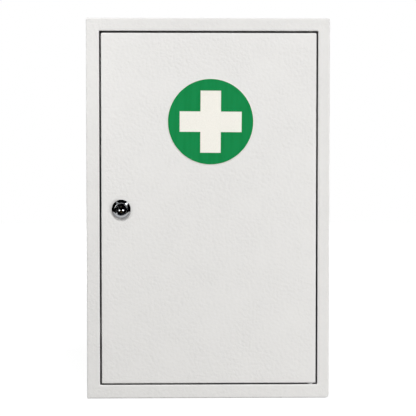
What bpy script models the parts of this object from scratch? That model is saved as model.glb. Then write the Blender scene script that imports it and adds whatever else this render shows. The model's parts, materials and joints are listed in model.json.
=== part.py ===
"""Steel wall cabinet for first aid supplies: a folded casing with a front frame, an inset
pan door on two pivot pins, a cam lock, two welded shelves and a hanging back panel.

Metres, +Z up. The origin is the middle of the back panel's rear face, which lies on the
wall. The front looks along -Y, and +X is on the right for someone facing the cabinet.
"""

from math import atan2, cos, degrees, pi, radians, sin, sqrt

import bmesh
import bpy
from mathutils import Vector

MM = 0.001

# Clearances between pieces
SEAT = 0.3 * MM  # between pieces that are welded, clamped or resting
CLOSE_SEAT = 0.1 * MM  # under a glued film and under the lock's head
TURN = 0.15 * MM  # round a pin or barrel that turns

# Casing, folded from one sheet: four walls, the front frame and its lip
WIDTH = 300 * MM
HEIGHT = 470 * MM
DEPTH = 140 * MM
CASING_SHEET = 1.0 * MM
CASING_BEND = 1.6 * MM
FRAME_LATCH_SIDE = 16.2 * MM
FRAME_HINGE_SIDE = 14.7 * MM
FRAME_TOP = 16.0 * MM
FRAME_BOTTOM = 17.0 * MM
OPENING_CORNER = 0.8 * MM
CORNER_LOWER_LATCH = 1.2 * MM  # the four corners were welded and ground by hand
CORNER_LOWER_HINGE = 4.5 * MM
CORNER_UPPER_HINGE = 1.2 * MM
CORNER_UPPER_LATCH = 2.2 * MM
SMALLEST_CORNER = 0.2 * MM

# Door, a pan folded from one sheet
GAP_LATCH_SIDE = 2.0 * MM
GAP_HINGE_SIDE = 1.8 * MM
GAP_TOP = 2.2 * MM
GAP_BOTTOM = 1.6 * MM
DOOR_SHEET = 1.0 * MM
DOOR_BEND = 1.5 * MM
DOOR_CORNER = 1.2 * MM
DOOR_FLANGE = 15.0 * MM

# Back panel, a shallow pan between the casing's walls
BACK_SHEET = 0.8 * MM
BACK_BEND = 1.2 * MM
BACK_FLANGE = 10.0 * MM
HANGER_SPACING_X = 200 * MM
HANGER_SPACING_Z = 380 * MM
HANGER_HEAD_RADIUS = 5.5 * MM
HANGER_NECK_RADIUS = 2.75 * MM
HANGER_RISE = 11.0 * MM

# Shelves, trays turned upside down with their flanges welded to the walls
SHELF_COUNT = 2
SHELF_SHEET = 0.8 * MM
SHELF_BEND = 1.4 * MM
SHELF_CORNER = 1.6 * MM
SHELF_FLANGE = 12.0 * MM
SHELF_BEHIND_LIP = 12.7 * MM  # keeps the shelves clear of the lock

# Door stops on the latch side, each with a rubber pad
STOP_PAD = 1.7 * MM
STOP_PAD_WIDTH = 4.2 * MM
STOP_SHEET = 1.0 * MM
STOP_HEIGHT = 20 * MM
STOP_FROM_CORNER = 70 * MM
STOP_LEG = 13.5 * MM
STOP_REACH = 3.5 * MM  # how far a stop's face reaches behind the door

# Pivot pins at the hinge side
PIVOT_FROM_EDGE = 6.5 * MM
PIVOT_FROM_FRONT = 5.5 * MM
PIVOT_RADIUS = 2.0 * MM
PIVOT_HEAD_RADIUS = 4.0 * MM
PIVOT_HEAD = 2.0 * MM
PIVOT_TIP = 1.5 * MM
PIVOT_CHAMFER = 0.5 * MM
PIVOT_WASHER_RADIUS = 3.5 * MM
PIVOT_PLATE = 2.0 * MM
PIVOT_PLATE_LENGTH = 28 * MM

# Cam lock, half way up the door
LOCK_FROM_EDGE = 24.6 * MM
PLUG_RADIUS = 6.3 * MM
PLUG_FACE_RADIUS = 7.0 * MM
PLUG_FACE_SUNK = 1.8 * MM
PLUG_FACE_THICKNESS = 1.6 * MM
PLUG_CHAMFER = 0.35 * MM
DISH_RADIUS = 3.6 * MM
DISH_DEPTH = 0.45 * MM
KEYWAY_WIDTH = 2.0 * MM
KEYWAY_HEIGHT = 8.4 * MM
BARREL_WALL = 2.95 * MM
BARREL_FLAT = 1.15 * MM  # how deep each flat is cut into the barrel
HEAD_RIM = 2.25 * MM  # how far the head stands out round the barrel
HEAD_RIM_HEIGHT = 2.8 * MM
HEAD_DOME = 6.9 * MM
HEAD_DOME_OUTER = 42
HEAD_DOME_INNER = 12
HEAD_EDGE = 0.4 * MM
HEAD_BEVEL = 1.0 * MM  # how deep the bevel inside the dome goes
NUT_WALL = 2.4 * MM
NUT_THICKNESS = 4.0 * MM
WAFER_COUNT = 5
WAFER_THICKNESS = 0.8 * MM
WAFER_WIDTH = 5.4 * MM
WAFER_HEIGHT = 11.0 * MM
WAFER_PITCH = 2.3 * MM
WAFER_WINDOW_WIDTH = 2.6 * MM
WAFER_WINDOW_HEIGHT = 5.6 * MM
WAFER_STEP = 0.45 * MM  # windows sit at different heights, one step apart
WAFER_STEPS = (-1, 2, 0, -2, 1)
WAFER_EAR_REACH = 1.9 * MM  # each wafer has an ear that its spring pushes on
WAFER_EAR_THICKNESS = 0.8 * MM
WAFER_EAR_ABOVE = 1.0 * MM  # from the plug's axis to the ear's underside
WAFER_LIFT = 1.5 * MM  # room for the ear to rise in its pocket
SPRING_COIL = 0.5 * MM
SPRING_WIRE = 0.13 * MM
SPRING_LENGTH = 2.2 * MM
SPRING_TURNS = 5
STOP_WASHER = 1.2 * MM
STOP_TAB_REACH = 8.0 * MM
STOP_TAB_HALF_ANGLE = 14
STOP_NOTCH_PLAY = 2  # degrees between the tab and each end of the notch
LOCK_TURN = 90
TAIL_WIDTH = 7.0 * MM
TAIL_SHORT = 0.2 * MM  # the tail ends this far inside the cam, so that the screw clamps it
CAM_PLAY = 0.5 * MM  # between the frame's lip and the locked cam
CAM_THICKNESS = 2.0 * MM
CAM_BITE = 5.4 * MM  # how far the locked cam reaches behind the lip
CAM_HUB_RADIUS = 9.0 * MM
CAM_TIP_RADIUS = 6.5 * MM
CAM_EDGE = 0.3 * MM
CAM_WASHER = 1.0 * MM
CAM_WASHER_RADIUS = 6.5 * MM
SCREW_RADIUS = 2.5 * MM
SCREW_HEAD_ACROSS = 9.0 * MM
SCREW_HEAD = 3.5 * MM
SCREW_REACH = 4.5 * MM

# First aid sign: a pale luminous film with a green layer printed on it
SIGN_RIGHT_OF_MIDDLE = 2.2 * MM
SIGN_BELOW_TOP = 109.0 * MM
FILM_RADIUS = 53.1 * MM
FILM_RIM = 0.6 * MM  # the film's pale edge round the print
FILM_THICKNESS = 0.3 * MM
PRINT_THICKNESS = 0.15 * MM
CROSS_LENGTH = 76.5 * MM
CROSS_ARM = 25.3 * MM

# Fineness of the round shapes
CORNER_STEPS = 5
BEND_STEPS = 4
ROUND_STEPS = 48
SIGN_STEPS = 96
SPRING_STEPS = 8  # to each turn

# Places that follow from the sizes
FRONT = -DEPTH
FRAME_LIP = DOOR_FLANGE + STOP_PAD + SEAT
OPENING_LEFT = -WIDTH / 2 + FRAME_LATCH_SIDE
OPENING_RIGHT = WIDTH / 2 - FRAME_HINGE_SIDE
OPENING_BOTTOM = -HEIGHT / 2 + FRAME_BOTTOM
OPENING_TOP = HEIGHT / 2 - FRAME_TOP
DOOR_LEFT = OPENING_LEFT + GAP_LATCH_SIDE
DOOR_RIGHT = OPENING_RIGHT - GAP_HINGE_SIDE
DOOR_BOTTOM = OPENING_BOTTOM + GAP_BOTTOM
DOOR_TOP = OPENING_TOP - GAP_TOP
PIVOT_PLACE = Vector((DOOR_RIGHT - PIVOT_FROM_EDGE, FRONT + PIVOT_FROM_FRONT, 0))
DOOR_MIDDLE = Vector(((DOOR_LEFT + DOOR_RIGHT) / 2, FRONT, (DOOR_BOTTOM + DOOR_TOP) / 2))
LOCK_PLACE = Vector((DOOR_LEFT + LOCK_FROM_EDGE, FRONT, DOOR_MIDDLE.z))
SIGN_PLACE = Vector((DOOR_MIDDLE.x + SIGN_RIGHT_OF_MIDDLE, FRONT, DOOR_TOP - SIGN_BELOW_TOP))
PRINT_RADIUS = FILM_RADIUS - FILM_RIM
CASING_CORNERS = (
    CORNER_LOWER_LATCH,
    CORNER_LOWER_HINGE,
    CORNER_UPPER_HINGE,
    CORNER_UPPER_LATCH,
)

# Places along the lock's axis, counted forwards from the door's face
CAM_FRONT = -(FRAME_LIP + CAM_PLAY)
CAM_BACK = CAM_FRONT - CAM_THICKNESS
BARREL_END = CAM_FRONT + SEAT
STOP_WASHER_FRONT = BARREL_END + STOP_WASHER
PLUG_SHOULDER = STOP_WASHER_FRONT + SEAT
TAIL_END = CAM_BACK + TAIL_SHORT
CAM_WASHER_FRONT = CAM_BACK - SEAT
SCREW_HEAD_FRONT = CAM_WASHER_FRONT - CAM_WASHER - SEAT
SCREW_TIP = TAIL_END + SCREW_REACH
BORE_RADIUS = PLUG_RADIUS + TURN
BARREL_RADIUS = BORE_RADIUS + BARREL_WALL
HEAD_RADIUS = BARREL_RADIUS + HEAD_RIM
DOME_RISE = HEAD_DOME * (cos(radians(HEAD_DOME_INNER)) - cos(radians(HEAD_DOME_OUTER)))
DOME_RUN = HEAD_DOME * (sin(radians(HEAD_DOME_OUTER)) - sin(radians(HEAD_DOME_INNER)))
HEAD_TOP = HEAD_RIM_HEIGHT + DOME_RISE
PLUG_FACE = HEAD_TOP - PLUG_FACE_SUNK
PLUG_COLLAR_BACK = PLUG_FACE - PLUG_FACE_THICKNESS
WAFERS_MIDDLE = (PLUG_COLLAR_BACK + PLUG_SHOULDER) / 2
KEYWAY_END = WAFERS_MIDDLE - WAFER_PITCH * WAFER_COUNT / 2
CAM_LENGTH = LOCK_FROM_EDGE + GAP_LATCH_SIDE + CASING_SHEET + CAM_BITE

FACING_FRONT = (pi / 2, 0, 0)  # local +Z looks out of the cabinet's front
FACING_WALL = (-pi / 2, 0, 0)  # local +Z looks at the wall


def clear_scene():
    for obj in list(bpy.data.objects):
        bpy.data.objects.remove(obj, do_unlink=True)


def material(name, colour, roughness, metallic=0.0):
    made = bpy.data.materials.new(name)
    made.use_nodes = True
    shader = made.node_tree.nodes["Principled BSDF"]
    shader.inputs["Base Color"].default_value = (*colour, 1.0)
    shader.inputs["Roughness"].default_value = roughness
    shader.inputs["Metallic"].default_value = metallic
    return made


def empty(name, location, rotation=(0, 0, 0), parent=None):
    made = bpy.data.objects.new(name, None)
    bpy.context.scene.collection.objects.link(made)
    made.location = location
    made.rotation_euler = rotation
    made.parent = parent
    return made


def finished(name, bm):
    """An object from a bmesh, with its faces pointing out and its round sides smooth."""
    bmesh.ops.recalc_face_normals(bm, faces=bm.faces)
    mesh = bpy.data.meshes.new(name)
    bm.to_mesh(mesh)
    bm.free()
    mesh.shade_smooth()
    mesh.set_sharp_from_angle(angle=radians(35))
    made = bpy.data.objects.new(name, mesh)
    bpy.context.scene.collection.objects.link(made)
    return made


def placed(obj, paint, location=(0, 0, 0), rotation=(0, 0, 0), parent=None):
    """Gives a piece its material and its place. Under a parent, the place is the parent's own."""
    obj.data.materials.append(paint)
    obj.location = location
    obj.rotation_euler = rotation
    obj.parent = parent
    return obj


def helper(obj, like=None):
    """Marks a cutter, and lays it where the piece that it cuts is."""
    obj.hide_render = True
    obj.display_type = "WIRE"
    if like is not None:
        obj.location = like.location
        obj.rotation_euler = like.rotation_euler
        obj.parent = like.parent
    return obj


def combine(obj, other, operation):
    modifier = obj.modifiers.new(operation.lower(), "BOOLEAN")
    modifier.operation = operation
    modifier.solver = "EXACT"
    modifier.object = other


def cut(obj, cutter):
    combine(obj, helper(cutter, like=obj), "DIFFERENCE")


def arc(radius, start, end, steps, centre=(0, 0)):
    """Points on an arc from one angle to another, in degrees."""
    angles = [radians(start + (end - start) * step / steps) for step in range(steps + 1)]
    return [(centre[0] + radius * cos(a), centre[1] + radius * sin(a)) for a in angles]


def ring(left, right, bottom, top, height, radii):
    """A rectangle with four rounded corners, anticlockwise from the lower left one."""
    signs = ((1, 1), (-1, 1), (-1, -1), (1, -1))
    corners = ((left, bottom), (right, bottom), (right, top), (left, top))
    points = []
    for index, ((x, y), (sx, sy), radius) in enumerate(zip(corners, signs, radii)):
        centre = (x + sx * radius, y + sy * radius)
        start = 180 + 90 * index
        points += [(*p, height) for p in arc(radius, start, start + 90, CORNER_STEPS, centre)]
    return points


def lofted(name, rings, capped):
    """A skin over a row of rings, closed by a cap at each end or by joining the ends."""
    bm = bmesh.new()
    loops = [[bm.verts.new(point) for point in points] for points in rings]
    joined = list(zip(loops, loops[1:]))
    if capped:
        bm.faces.new(loops[0])
        bm.faces.new(loops[-1])
    else:
        joined.append((loops[-1], loops[0]))
    for first, second in joined:
        for index in range(len(first)):
            after = (index + 1) % len(first)
            bm.faces.new((first[index], first[after], second[after], second[index]))
    return finished(name, bm)


def bend(radius, sheet, inner):
    """How far in and how far back a 90 degree fold runs, from the wall round to the face."""
    reach = radius - sheet if inner else radius
    steps = [pi / 2 * step / BEND_STEPS for step in range(BEND_STEPS + 1)]
    return [(radius - reach * cos(a), -radius + reach * sin(a)) for a in steps]


def pan(name, left, right, bottom, top, flange, sheet, radius, corners):
    """A sheet with its face at z = 0 and a flange folded back along each edge."""

    def inset(amount, height):
        radii = [max(corner - amount, SMALLEST_CORNER) for corner in corners]
        return ring(left + amount, right - amount, bottom + amount, top - amount, height, radii)

    outside = [inset(*step) for step in reversed(bend(radius, sheet, inner=False))]
    inside = [inset(*step) for step in bend(radius, sheet, inner=True)]
    edge = [inset(0, -flange), inset(sheet, -flange)]
    return lofted(name, outside + edge + inside, capped=True)


def turned(name, profile, closed=False, steps=ROUND_STEPS):
    """A profile of (radius, height) points spun round local Z. A closed one makes a ring."""
    bm = bmesh.new()
    verts = [bm.verts.new((radius, 0, height)) for radius, height in profile]
    pairs = list(zip(verts, verts[1:]))
    if closed:
        pairs.append((verts[-1], verts[0]))
    edges = [bm.edges.new(pair) for pair in pairs]
    bmesh.ops.spin(
        bm,
        geom=verts + edges,
        cent=(0, 0, 0),
        axis=(0, 0, 1),
        angle=2 * pi,
        steps=steps,
        use_merge=True,
    )
    bmesh.ops.remove_doubles(bm, verts=bm.verts, dist=1e-7)
    return finished(name, bm)


def rod(name, radius, low, high, steps=ROUND_STEPS):
    profile = [(0, low), (radius, low), (radius, high), (0, high)]
    return turned(name, profile, steps=steps)


def washer(name, hole_radius, radius, low, high):
    profile = [(hole_radius, low), (radius, low), (radius, high), (hole_radius, high)]
    return turned(name, profile, closed=True)


def add_prism(bm, outline, low, high):
    """A flat outline pushed up from one height to another."""
    face = bm.faces.new([bm.verts.new((x, y, low)) for x, y in outline])
    grown = bmesh.ops.extrude_face_region(bm, geom=[face])["geom"]
    moved = [item for item in grown if isinstance(item, bmesh.types.BMVert)]
    bmesh.ops.translate(bm, verts=moved, vec=(0, 0, high - low))


def prism(name, outline, low, high):
    bm = bmesh.new()
    add_prism(bm, outline, low, high)
    return finished(name, bm)


def prisms(name, outlines, low, high):
    """Several prisms in one object, for cutting more than one hole."""
    bm = bmesh.new()
    for outline in outlines:
        add_prism(bm, outline, low, high)
    return finished(name, bm)


def tube(name, points, radius):
    """A round wire along the points."""
    curve = bpy.data.curves.new(name, "CURVE")
    curve.dimensions = "3D"
    curve.bevel_depth = radius
    curve.bevel_resolution = 1
    curve.use_fill_caps = True
    spline = curve.splines.new("POLY")
    spline.points.add(len(points) - 1)
    for point, place in zip(spline.points, points):
        point.co = (*place, 1)
    made = bpy.data.objects.new(name, curve)
    bpy.context.scene.collection.objects.link(made)
    return made


def slope(rise, run):
    """The angle of a slope, in degrees."""
    return degrees(atan2(rise, run))


def rectangle(left, right, bottom, top):
    return [(left, bottom), (right, bottom), (right, top), (left, top)]


def centred(width, height, centre=(0, 0)):
    x, y = centre
    return rectangle(x - width / 2, x + width / 2, y - height / 2, y + height / 2)


def soften(obj, width):
    modifier = obj.modifiers.new("edges", "BEVEL")
    modifier.width = width
    modifier.segments = 2
    modifier.limit_method = "ANGLE"
    modifier.angle_limit = radians(50)


def build_casing(paint):
    """Walls, front frame and lip in one folded sheet. The pivot pins pass through the lip."""
    borders = (FRAME_LATCH_SIDE, FRAME_HINGE_SIDE, FRAME_BOTTOM, FRAME_TOP)

    def frame_ring(share, amount, height):
        """Share 0 counts from the casing's outside, and share 1 from the opening's edge."""
        left, right, bottom, top = (share * border + amount for border in borders)
        base = [OPENING_CORNER] * 4 if share else CASING_CORNERS
        radii = [max(corner - amount, SMALLEST_CORNER) for corner in base]
        return ring(
            -WIDTH / 2 + left,
            WIDTH / 2 - right,
            -HEIGHT / 2 + bottom,
            HEIGHT / 2 - top,
            height,
            radii,
        )

    outer = bend(CASING_BEND, CASING_SHEET, inner=False)
    inner = bend(CASING_BEND, CASING_SHEET, inner=True)
    rings = [frame_ring(0, 0, -DEPTH)]
    rings += [frame_ring(0, amount, height) for amount, height in outer]
    rings += [frame_ring(1, -amount, height) for amount, height in reversed(outer)]
    rings += [frame_ring(1, 0, -FRAME_LIP), frame_ring(1, -CASING_SHEET, -FRAME_LIP)]
    rings += [frame_ring(1, -amount, height) for amount, height in inner]
    rings += [frame_ring(0, amount, height) for amount, height in reversed(inner)]
    rings += [frame_ring(0, CASING_SHEET, -DEPTH)]
    casing = lofted("casing", rings, capped=False)
    placed(casing, paint, (0, FRONT, 0), FACING_FRONT)
    reach = max(FRAME_TOP, FRAME_BOTTOM) / 2
    for edge, name in ((OPENING_BOTTOM, "lower_lip_hole"), (OPENING_TOP, "upper_lip_hole")):
        drill = helper(rod(name, PIVOT_RADIUS + TURN, edge - reach, edge + reach))
        drill.location = PIVOT_PLACE
        combine(casing, drill, "DIFFERENCE")


def hanger_outline(x, z):
    """A keyhole: a screw head goes in at the round end, and its shank slides up the neck."""
    half = HANGER_NECK_RADIUS
    meet = sqrt(HANGER_HEAD_RADIUS**2 - half**2)
    edge = slope(meet, half)
    head = arc(HANGER_HEAD_RADIUS, 180 - edge, 360 + edge, 20, (x, z))
    neck = arc(half, 0, 180, 10, (x, z + HANGER_RISE))
    return head + neck


def build_back_panel(paint):
    half_width = WIDTH / 2 - CASING_SHEET - SEAT
    half_height = HEIGHT / 2 - CASING_SHEET - SEAT
    # Turned to face the wall, the panel has its upper corners where a front has its lower ones.
    corners = [max(corner - CASING_SHEET - SEAT, BACK_BEND) for corner in reversed(CASING_CORNERS)]
    panel = pan(
        "back_panel",
        -half_width,
        half_width,
        -half_height,
        half_height,
        BACK_FLANGE,
        BACK_SHEET,
        BACK_BEND,
        corners,
    )
    placed(panel, paint, (0, 0, 0), FACING_WALL)
    half_x = HANGER_SPACING_X / 2
    half_z = HANGER_SPACING_Z / 2
    outlines = [hanger_outline(x, z) for x in (-half_x, half_x) for z in (-half_z, half_z)]
    holes = helper(prisms("hanger_holes", outlines, -BACK_FLANGE / 2, BACK_FLANGE / 2))
    holes.rotation_euler = FACING_FRONT
    combine(panel, holes, "DIFFERENCE")


def shelf_height(index):
    """The height of a shelf's top face. The shelves share the inside height evenly."""
    inside = HEIGHT - 2 * CASING_SHEET
    return -inside / 2 + inside * (index + 1) / (SHELF_COUNT + 1)


def build_shelves(paint):
    half = WIDTH / 2 - CASING_SHEET - SEAT
    for index in range(SHELF_COUNT):
        shelf = pan(
            f"shelf_{index + 1}",
            -half,
            half,
            FRONT + FRAME_LIP + SHELF_BEHIND_LIP,
            -BACK_FLANGE - SEAT,
            SHELF_FLANGE,
            SHELF_SHEET,
            SHELF_BEND,
            (SHELF_CORNER,) * 4,
        )
        placed(shelf, paint, (0, 0, shelf_height(index)))


def build_door_stops(paint, rubber):
    """Angles behind the frame's lip. The door's flange meets their rubber pads."""
    lip_back = OPENING_LEFT - CASING_SHEET
    leg_right = lip_back - SEAT
    leg_left = leg_right - STOP_SHEET
    face_front = FRONT + FRAME_LIP + SEAT
    face_back = face_front + STOP_SHEET
    face_right = DOOR_LEFT + STOP_REACH
    outline = [
        (leg_left, face_back - STOP_LEG),
        (leg_right, face_back - STOP_LEG),
        (leg_right, face_front),
        (face_right, face_front),
        (face_right, face_back),
        (leg_left, face_back),
    ]
    pad_back = face_front - SEAT
    pad_right = face_right - SEAT
    pad = rectangle(pad_right - STOP_PAD_WIDTH, pad_right, pad_back - STOP_PAD, pad_back)
    heights = {
        "lower": OPENING_BOTTOM + STOP_FROM_CORNER,
        "upper": OPENING_TOP - STOP_FROM_CORNER,
    }
    for end, middle in heights.items():
        low = middle - STOP_HEIGHT / 2
        high = middle + STOP_HEIGHT / 2
        placed(prism(f"door_stop_{end}", outline, low, high), paint)
        placed(prism(f"stop_pad_{end}", pad, low, high), rubber)


def build_pivot_pins(steel, nylon):
    """Headed pins through the frame's lip, with a washer that carries the door."""
    turn_radius = PIVOT_RADIUS + TURN

    def pin(name, lip_face, door_edge, up):
        """The head lies behind the lip. up is 1 for the lower pin and -1 for the upper one."""
        head_inner = lip_face - up * (CASING_SHEET + SEAT)
        tip = door_edge + up * (DOOR_SHEET + SEAT + PIVOT_PLATE + PIVOT_TIP)
        profile = [
            (0, head_inner - up * PIVOT_HEAD),
            (PIVOT_HEAD_RADIUS, head_inner - up * PIVOT_HEAD),
            (PIVOT_HEAD_RADIUS, head_inner),
            (PIVOT_RADIUS, head_inner),
            (PIVOT_RADIUS, tip - up * PIVOT_CHAMFER),
            (PIVOT_RADIUS - PIVOT_CHAMFER, tip),
            (0, tip),
        ]
        placed(turned(name, profile), steel, PIVOT_PLACE)

    pin("lower_pivot_pin", OPENING_BOTTOM, DOOR_BOTTOM, 1)
    pin("upper_pivot_pin", OPENING_TOP, DOOR_TOP, -1)
    disc = washer(
        "pivot_washer",
        turn_radius,
        PIVOT_WASHER_RADIUS,
        OPENING_BOTTOM + TURN,
        DOOR_BOTTOM - TURN,
    )
    placed(disc, nylon, PIVOT_PLACE)


def lock_hole_outline(radius):
    """A circle with two flats, as cut in the door for the lock's barrel."""
    flat = radius - BARREL_FLAT
    angle = slope(sqrt(radius**2 - flat**2), flat)
    steps = ROUND_STEPS // 2
    return arc(radius, angle, 180 - angle, steps) + arc(radius, 180 + angle, 360 - angle, steps)


def build_door(paint, steel, door_pivot):
    """The pan, and the plates welded inside it where the pins pass through its flanges."""
    to_door = Vector((0, FRONT, 0)) - PIVOT_PLACE
    panel = pan(
        "door_panel",
        DOOR_LEFT,
        DOOR_RIGHT,
        DOOR_BOTTOM,
        DOOR_TOP,
        DOOR_FLANGE,
        DOOR_SHEET,
        DOOR_BEND,
        (DOOR_CORNER,) * 4,
    )
    placed(panel, paint, to_door, FACING_FRONT, door_pivot)
    turn_radius = PIVOT_RADIUS + TURN
    for end, edge in (("lower", DOOR_BOTTOM), ("upper", DOOR_TOP)):
        drill = helper(rod(f"{end}_flange_hole", turn_radius, edge - PIVOT_PLATE, edge + PIVOT_PLATE))
        drill.parent = door_pivot
        combine(panel, drill, "DIFFERENCE")
    hole = prism("lock_hole", lock_hole_outline(BARREL_RADIUS + TURN), -DOOR_FLANGE, DOOR_FLANGE)
    helper(hole, like=panel)
    hole.location = LOCK_PLACE - PIVOT_PLACE
    combine(panel, hole, "DIFFERENCE")

    right = DOOR_RIGHT - DOOR_SHEET - SEAT - PIVOT_PLACE.x
    front = FRONT + DOOR_SHEET + SEAT - PIVOT_PLACE.y
    back = FRONT + DOOR_FLANGE - DOOR_SHEET - PIVOT_PLACE.y
    outline = rectangle(right - PIVOT_PLATE_LENGTH, right, front, back)
    inner = DOOR_SHEET + SEAT
    spans = {
        "lower": (DOOR_BOTTOM + inner, DOOR_BOTTOM + inner + PIVOT_PLATE),
        "upper": (DOOR_TOP - inner - PIVOT_PLATE, DOOR_TOP - inner),
    }
    for end, (low, high) in spans.items():
        plate = placed(prism(f"{end}_pivot_plate", outline, low, high), steel, parent=door_pivot)
        cut(plate, rod(f"{end}_plate_hole", turn_radius, low - PIVOT_PLATE, high + PIVOT_PLATE))


def build_sign(film_paint, print_paint, door_pivot):
    """The film, and the green layer whose cross-shaped window shows it."""
    place = SIGN_PLACE - PIVOT_PLACE
    film_face = CLOSE_SEAT + FILM_THICKNESS
    print_back = film_face + CLOSE_SEAT
    film = rod("sign_film", FILM_RADIUS, CLOSE_SEAT, film_face, SIGN_STEPS)
    placed(film, film_paint, place, FACING_FRONT, door_pivot)
    green = rod("sign_print", PRINT_RADIUS, print_back, print_back + PRINT_THICKNESS, SIGN_STEPS)
    placed(green, print_paint, place, FACING_FRONT, door_pivot)
    arm = CROSS_ARM / 2
    reach = CROSS_LENGTH / 2
    cross = [(arm, arm), (arm, reach), (-arm, reach), (-arm, arm), (-reach, arm), (-reach, -arm)]
    cross += [(-x, -y) for x, y in cross]
    cut(green, prism("cross_window", cross, 0, print_back + 2 * PRINT_THICKNESS))


def hexagon(across):
    return arc(across / sqrt(3), 0, 300, 5)


def hexed(name, across, low, high, paint, parent):
    """A hexagon with its corners turned down, as on a nut or a bolt head."""
    made = placed(prism(name, hexagon(across), low, high), paint, parent=parent)
    tip = across / sqrt(3)
    flat = across / 2
    drop = (tip - flat) / 2
    profile = [(0, low), (flat, low), (tip, low + drop), (tip, high - drop), (flat, high), (0, high)]
    combine(made, helper(turned(f"{name}_chamfer", profile), like=made), "INTERSECT")
    return made


def head_profile():
    """The barrel, the head's rim and dome, and the recess for the plug's face."""
    dome_centre = HEAD_RADIUS - HEAD_DOME * sin(radians(HEAD_DOME_OUTER))
    dome_base = HEAD_RIM_HEIGHT - HEAD_DOME * cos(radians(HEAD_DOME_OUTER))
    dome = arc(
        HEAD_DOME,
        90 - HEAD_DOME_OUTER,
        90 - HEAD_DOME_INNER,
        8,
        (dome_centre, dome_base),
    )
    edge_centre = (HEAD_RADIUS - DOME_RUN, HEAD_TOP - HEAD_EDGE)
    edge = arc(HEAD_EDGE, 90, 180, 4, edge_centre)
    recess = PLUG_FACE_RADIUS + TURN
    recess_floor = PLUG_COLLAR_BACK - SEAT
    barrel = [
        (BORE_RADIUS, BARREL_END),
        (BARREL_RADIUS, BARREL_END),
        (BARREL_RADIUS, CLOSE_SEAT),
        (HEAD_RADIUS - HEAD_EDGE, CLOSE_SEAT),
        (HEAD_RADIUS, CLOSE_SEAT + HEAD_EDGE),
    ]
    bevel_end = (recess, HEAD_TOP - HEAD_BEVEL)
    return barrel + dome + edge + [bevel_end, (recess, recess_floor), (BORE_RADIUS, recess_floor)]


def build_lock_housing(chrome, steel, lock_axis):
    housing = placed(turned("lock_housing", head_profile(), closed=True), chrome, parent=lock_axis)
    flat = BARREL_RADIUS - BARREL_FLAT
    far = 2 * BARREL_RADIUS
    sides = [rectangle(flat, far, -far, far), rectangle(-far, -flat, -far, far)]
    cut(housing, prisms("barrel_flats", sides, 2 * BARREL_END, CLOSE_SEAT))
    half = STOP_TAB_HALF_ANGLE + STOP_NOTCH_PLAY
    start = 270 - LOCK_TURN - half
    notch = [(0, 0)] + arc(far, start, 270 + half, 16)
    cut(housing, prism("stop_notch", notch, 2 * BARREL_END, PLUG_SHOULDER))

    nut_front = -DOOR_SHEET - SEAT
    across = 2 * (BARREL_RADIUS + TURN + NUT_WALL)
    nut_back = nut_front - NUT_THICKNESS
    nut = hexed("lock_nut", across, nut_back, nut_front, steel, lock_axis)
    cut(nut, rod("nut_bore", BARREL_RADIUS + TURN, 2 * nut_back, 0))


def tail_outline(clearance=0.0):
    side = TAIL_WIDTH + 2 * clearance
    return centred(side, side)


def dish_profile():
    """A shallow hollow from the middle of the plug's face out to its flat rim."""
    curve = (DISH_RADIUS**2 + DISH_DEPTH**2) / (2 * DISH_DEPTH)
    centre = PLUG_FACE - DISH_DEPTH + curve
    points = [DISH_RADIUS * step / 6 for step in range(7)]
    return [(r, centre - sqrt(curve**2 - r**2)) for r in points]


def wafer_outline():
    """A plate with an ear on its right, on which the spring pushes."""
    side = WAFER_WIDTH / 2
    end = WAFER_HEIGHT / 2
    ear = side + WAFER_EAR_REACH
    ear_top = WAFER_EAR_ABOVE + WAFER_EAR_THICKNESS
    right = [(side, -end), (side, WAFER_EAR_ABOVE), (ear, WAFER_EAR_ABOVE), (ear, ear_top), (side, ear_top)]
    return [(-side, -end), *right, (side, end), (-side, end)]


def spring_points(height):
    """A coil that stands under the ear, at its wafer's height in the plug."""
    middle = WAFER_WIDTH / 2 + WAFER_EAR_REACH - SPRING_COIL - SPRING_WIRE
    top = WAFER_EAR_ABOVE - SEAT - SPRING_WIRE
    count = SPRING_TURNS * SPRING_STEPS
    points = []
    for step in range(count + 1):
        angle = 2 * pi * step / SPRING_STEPS
        x = middle + SPRING_COIL * cos(angle)
        z = height + SPRING_COIL * sin(angle)
        points.append((x, top - SPRING_LENGTH * step / count, z))
    return points


def pocket_outline():
    """Room beside a wafer for its ear and its spring."""
    right = WAFER_WIDTH / 2 + WAFER_EAR_REACH + SEAT
    floor = WAFER_EAR_ABOVE - SPRING_LENGTH - 2 * (SEAT + SPRING_WIRE)
    roof = WAFER_EAR_ABOVE + WAFER_EAR_THICKNESS + WAFER_LIFT
    return rectangle(0, right, floor, roof)


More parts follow.
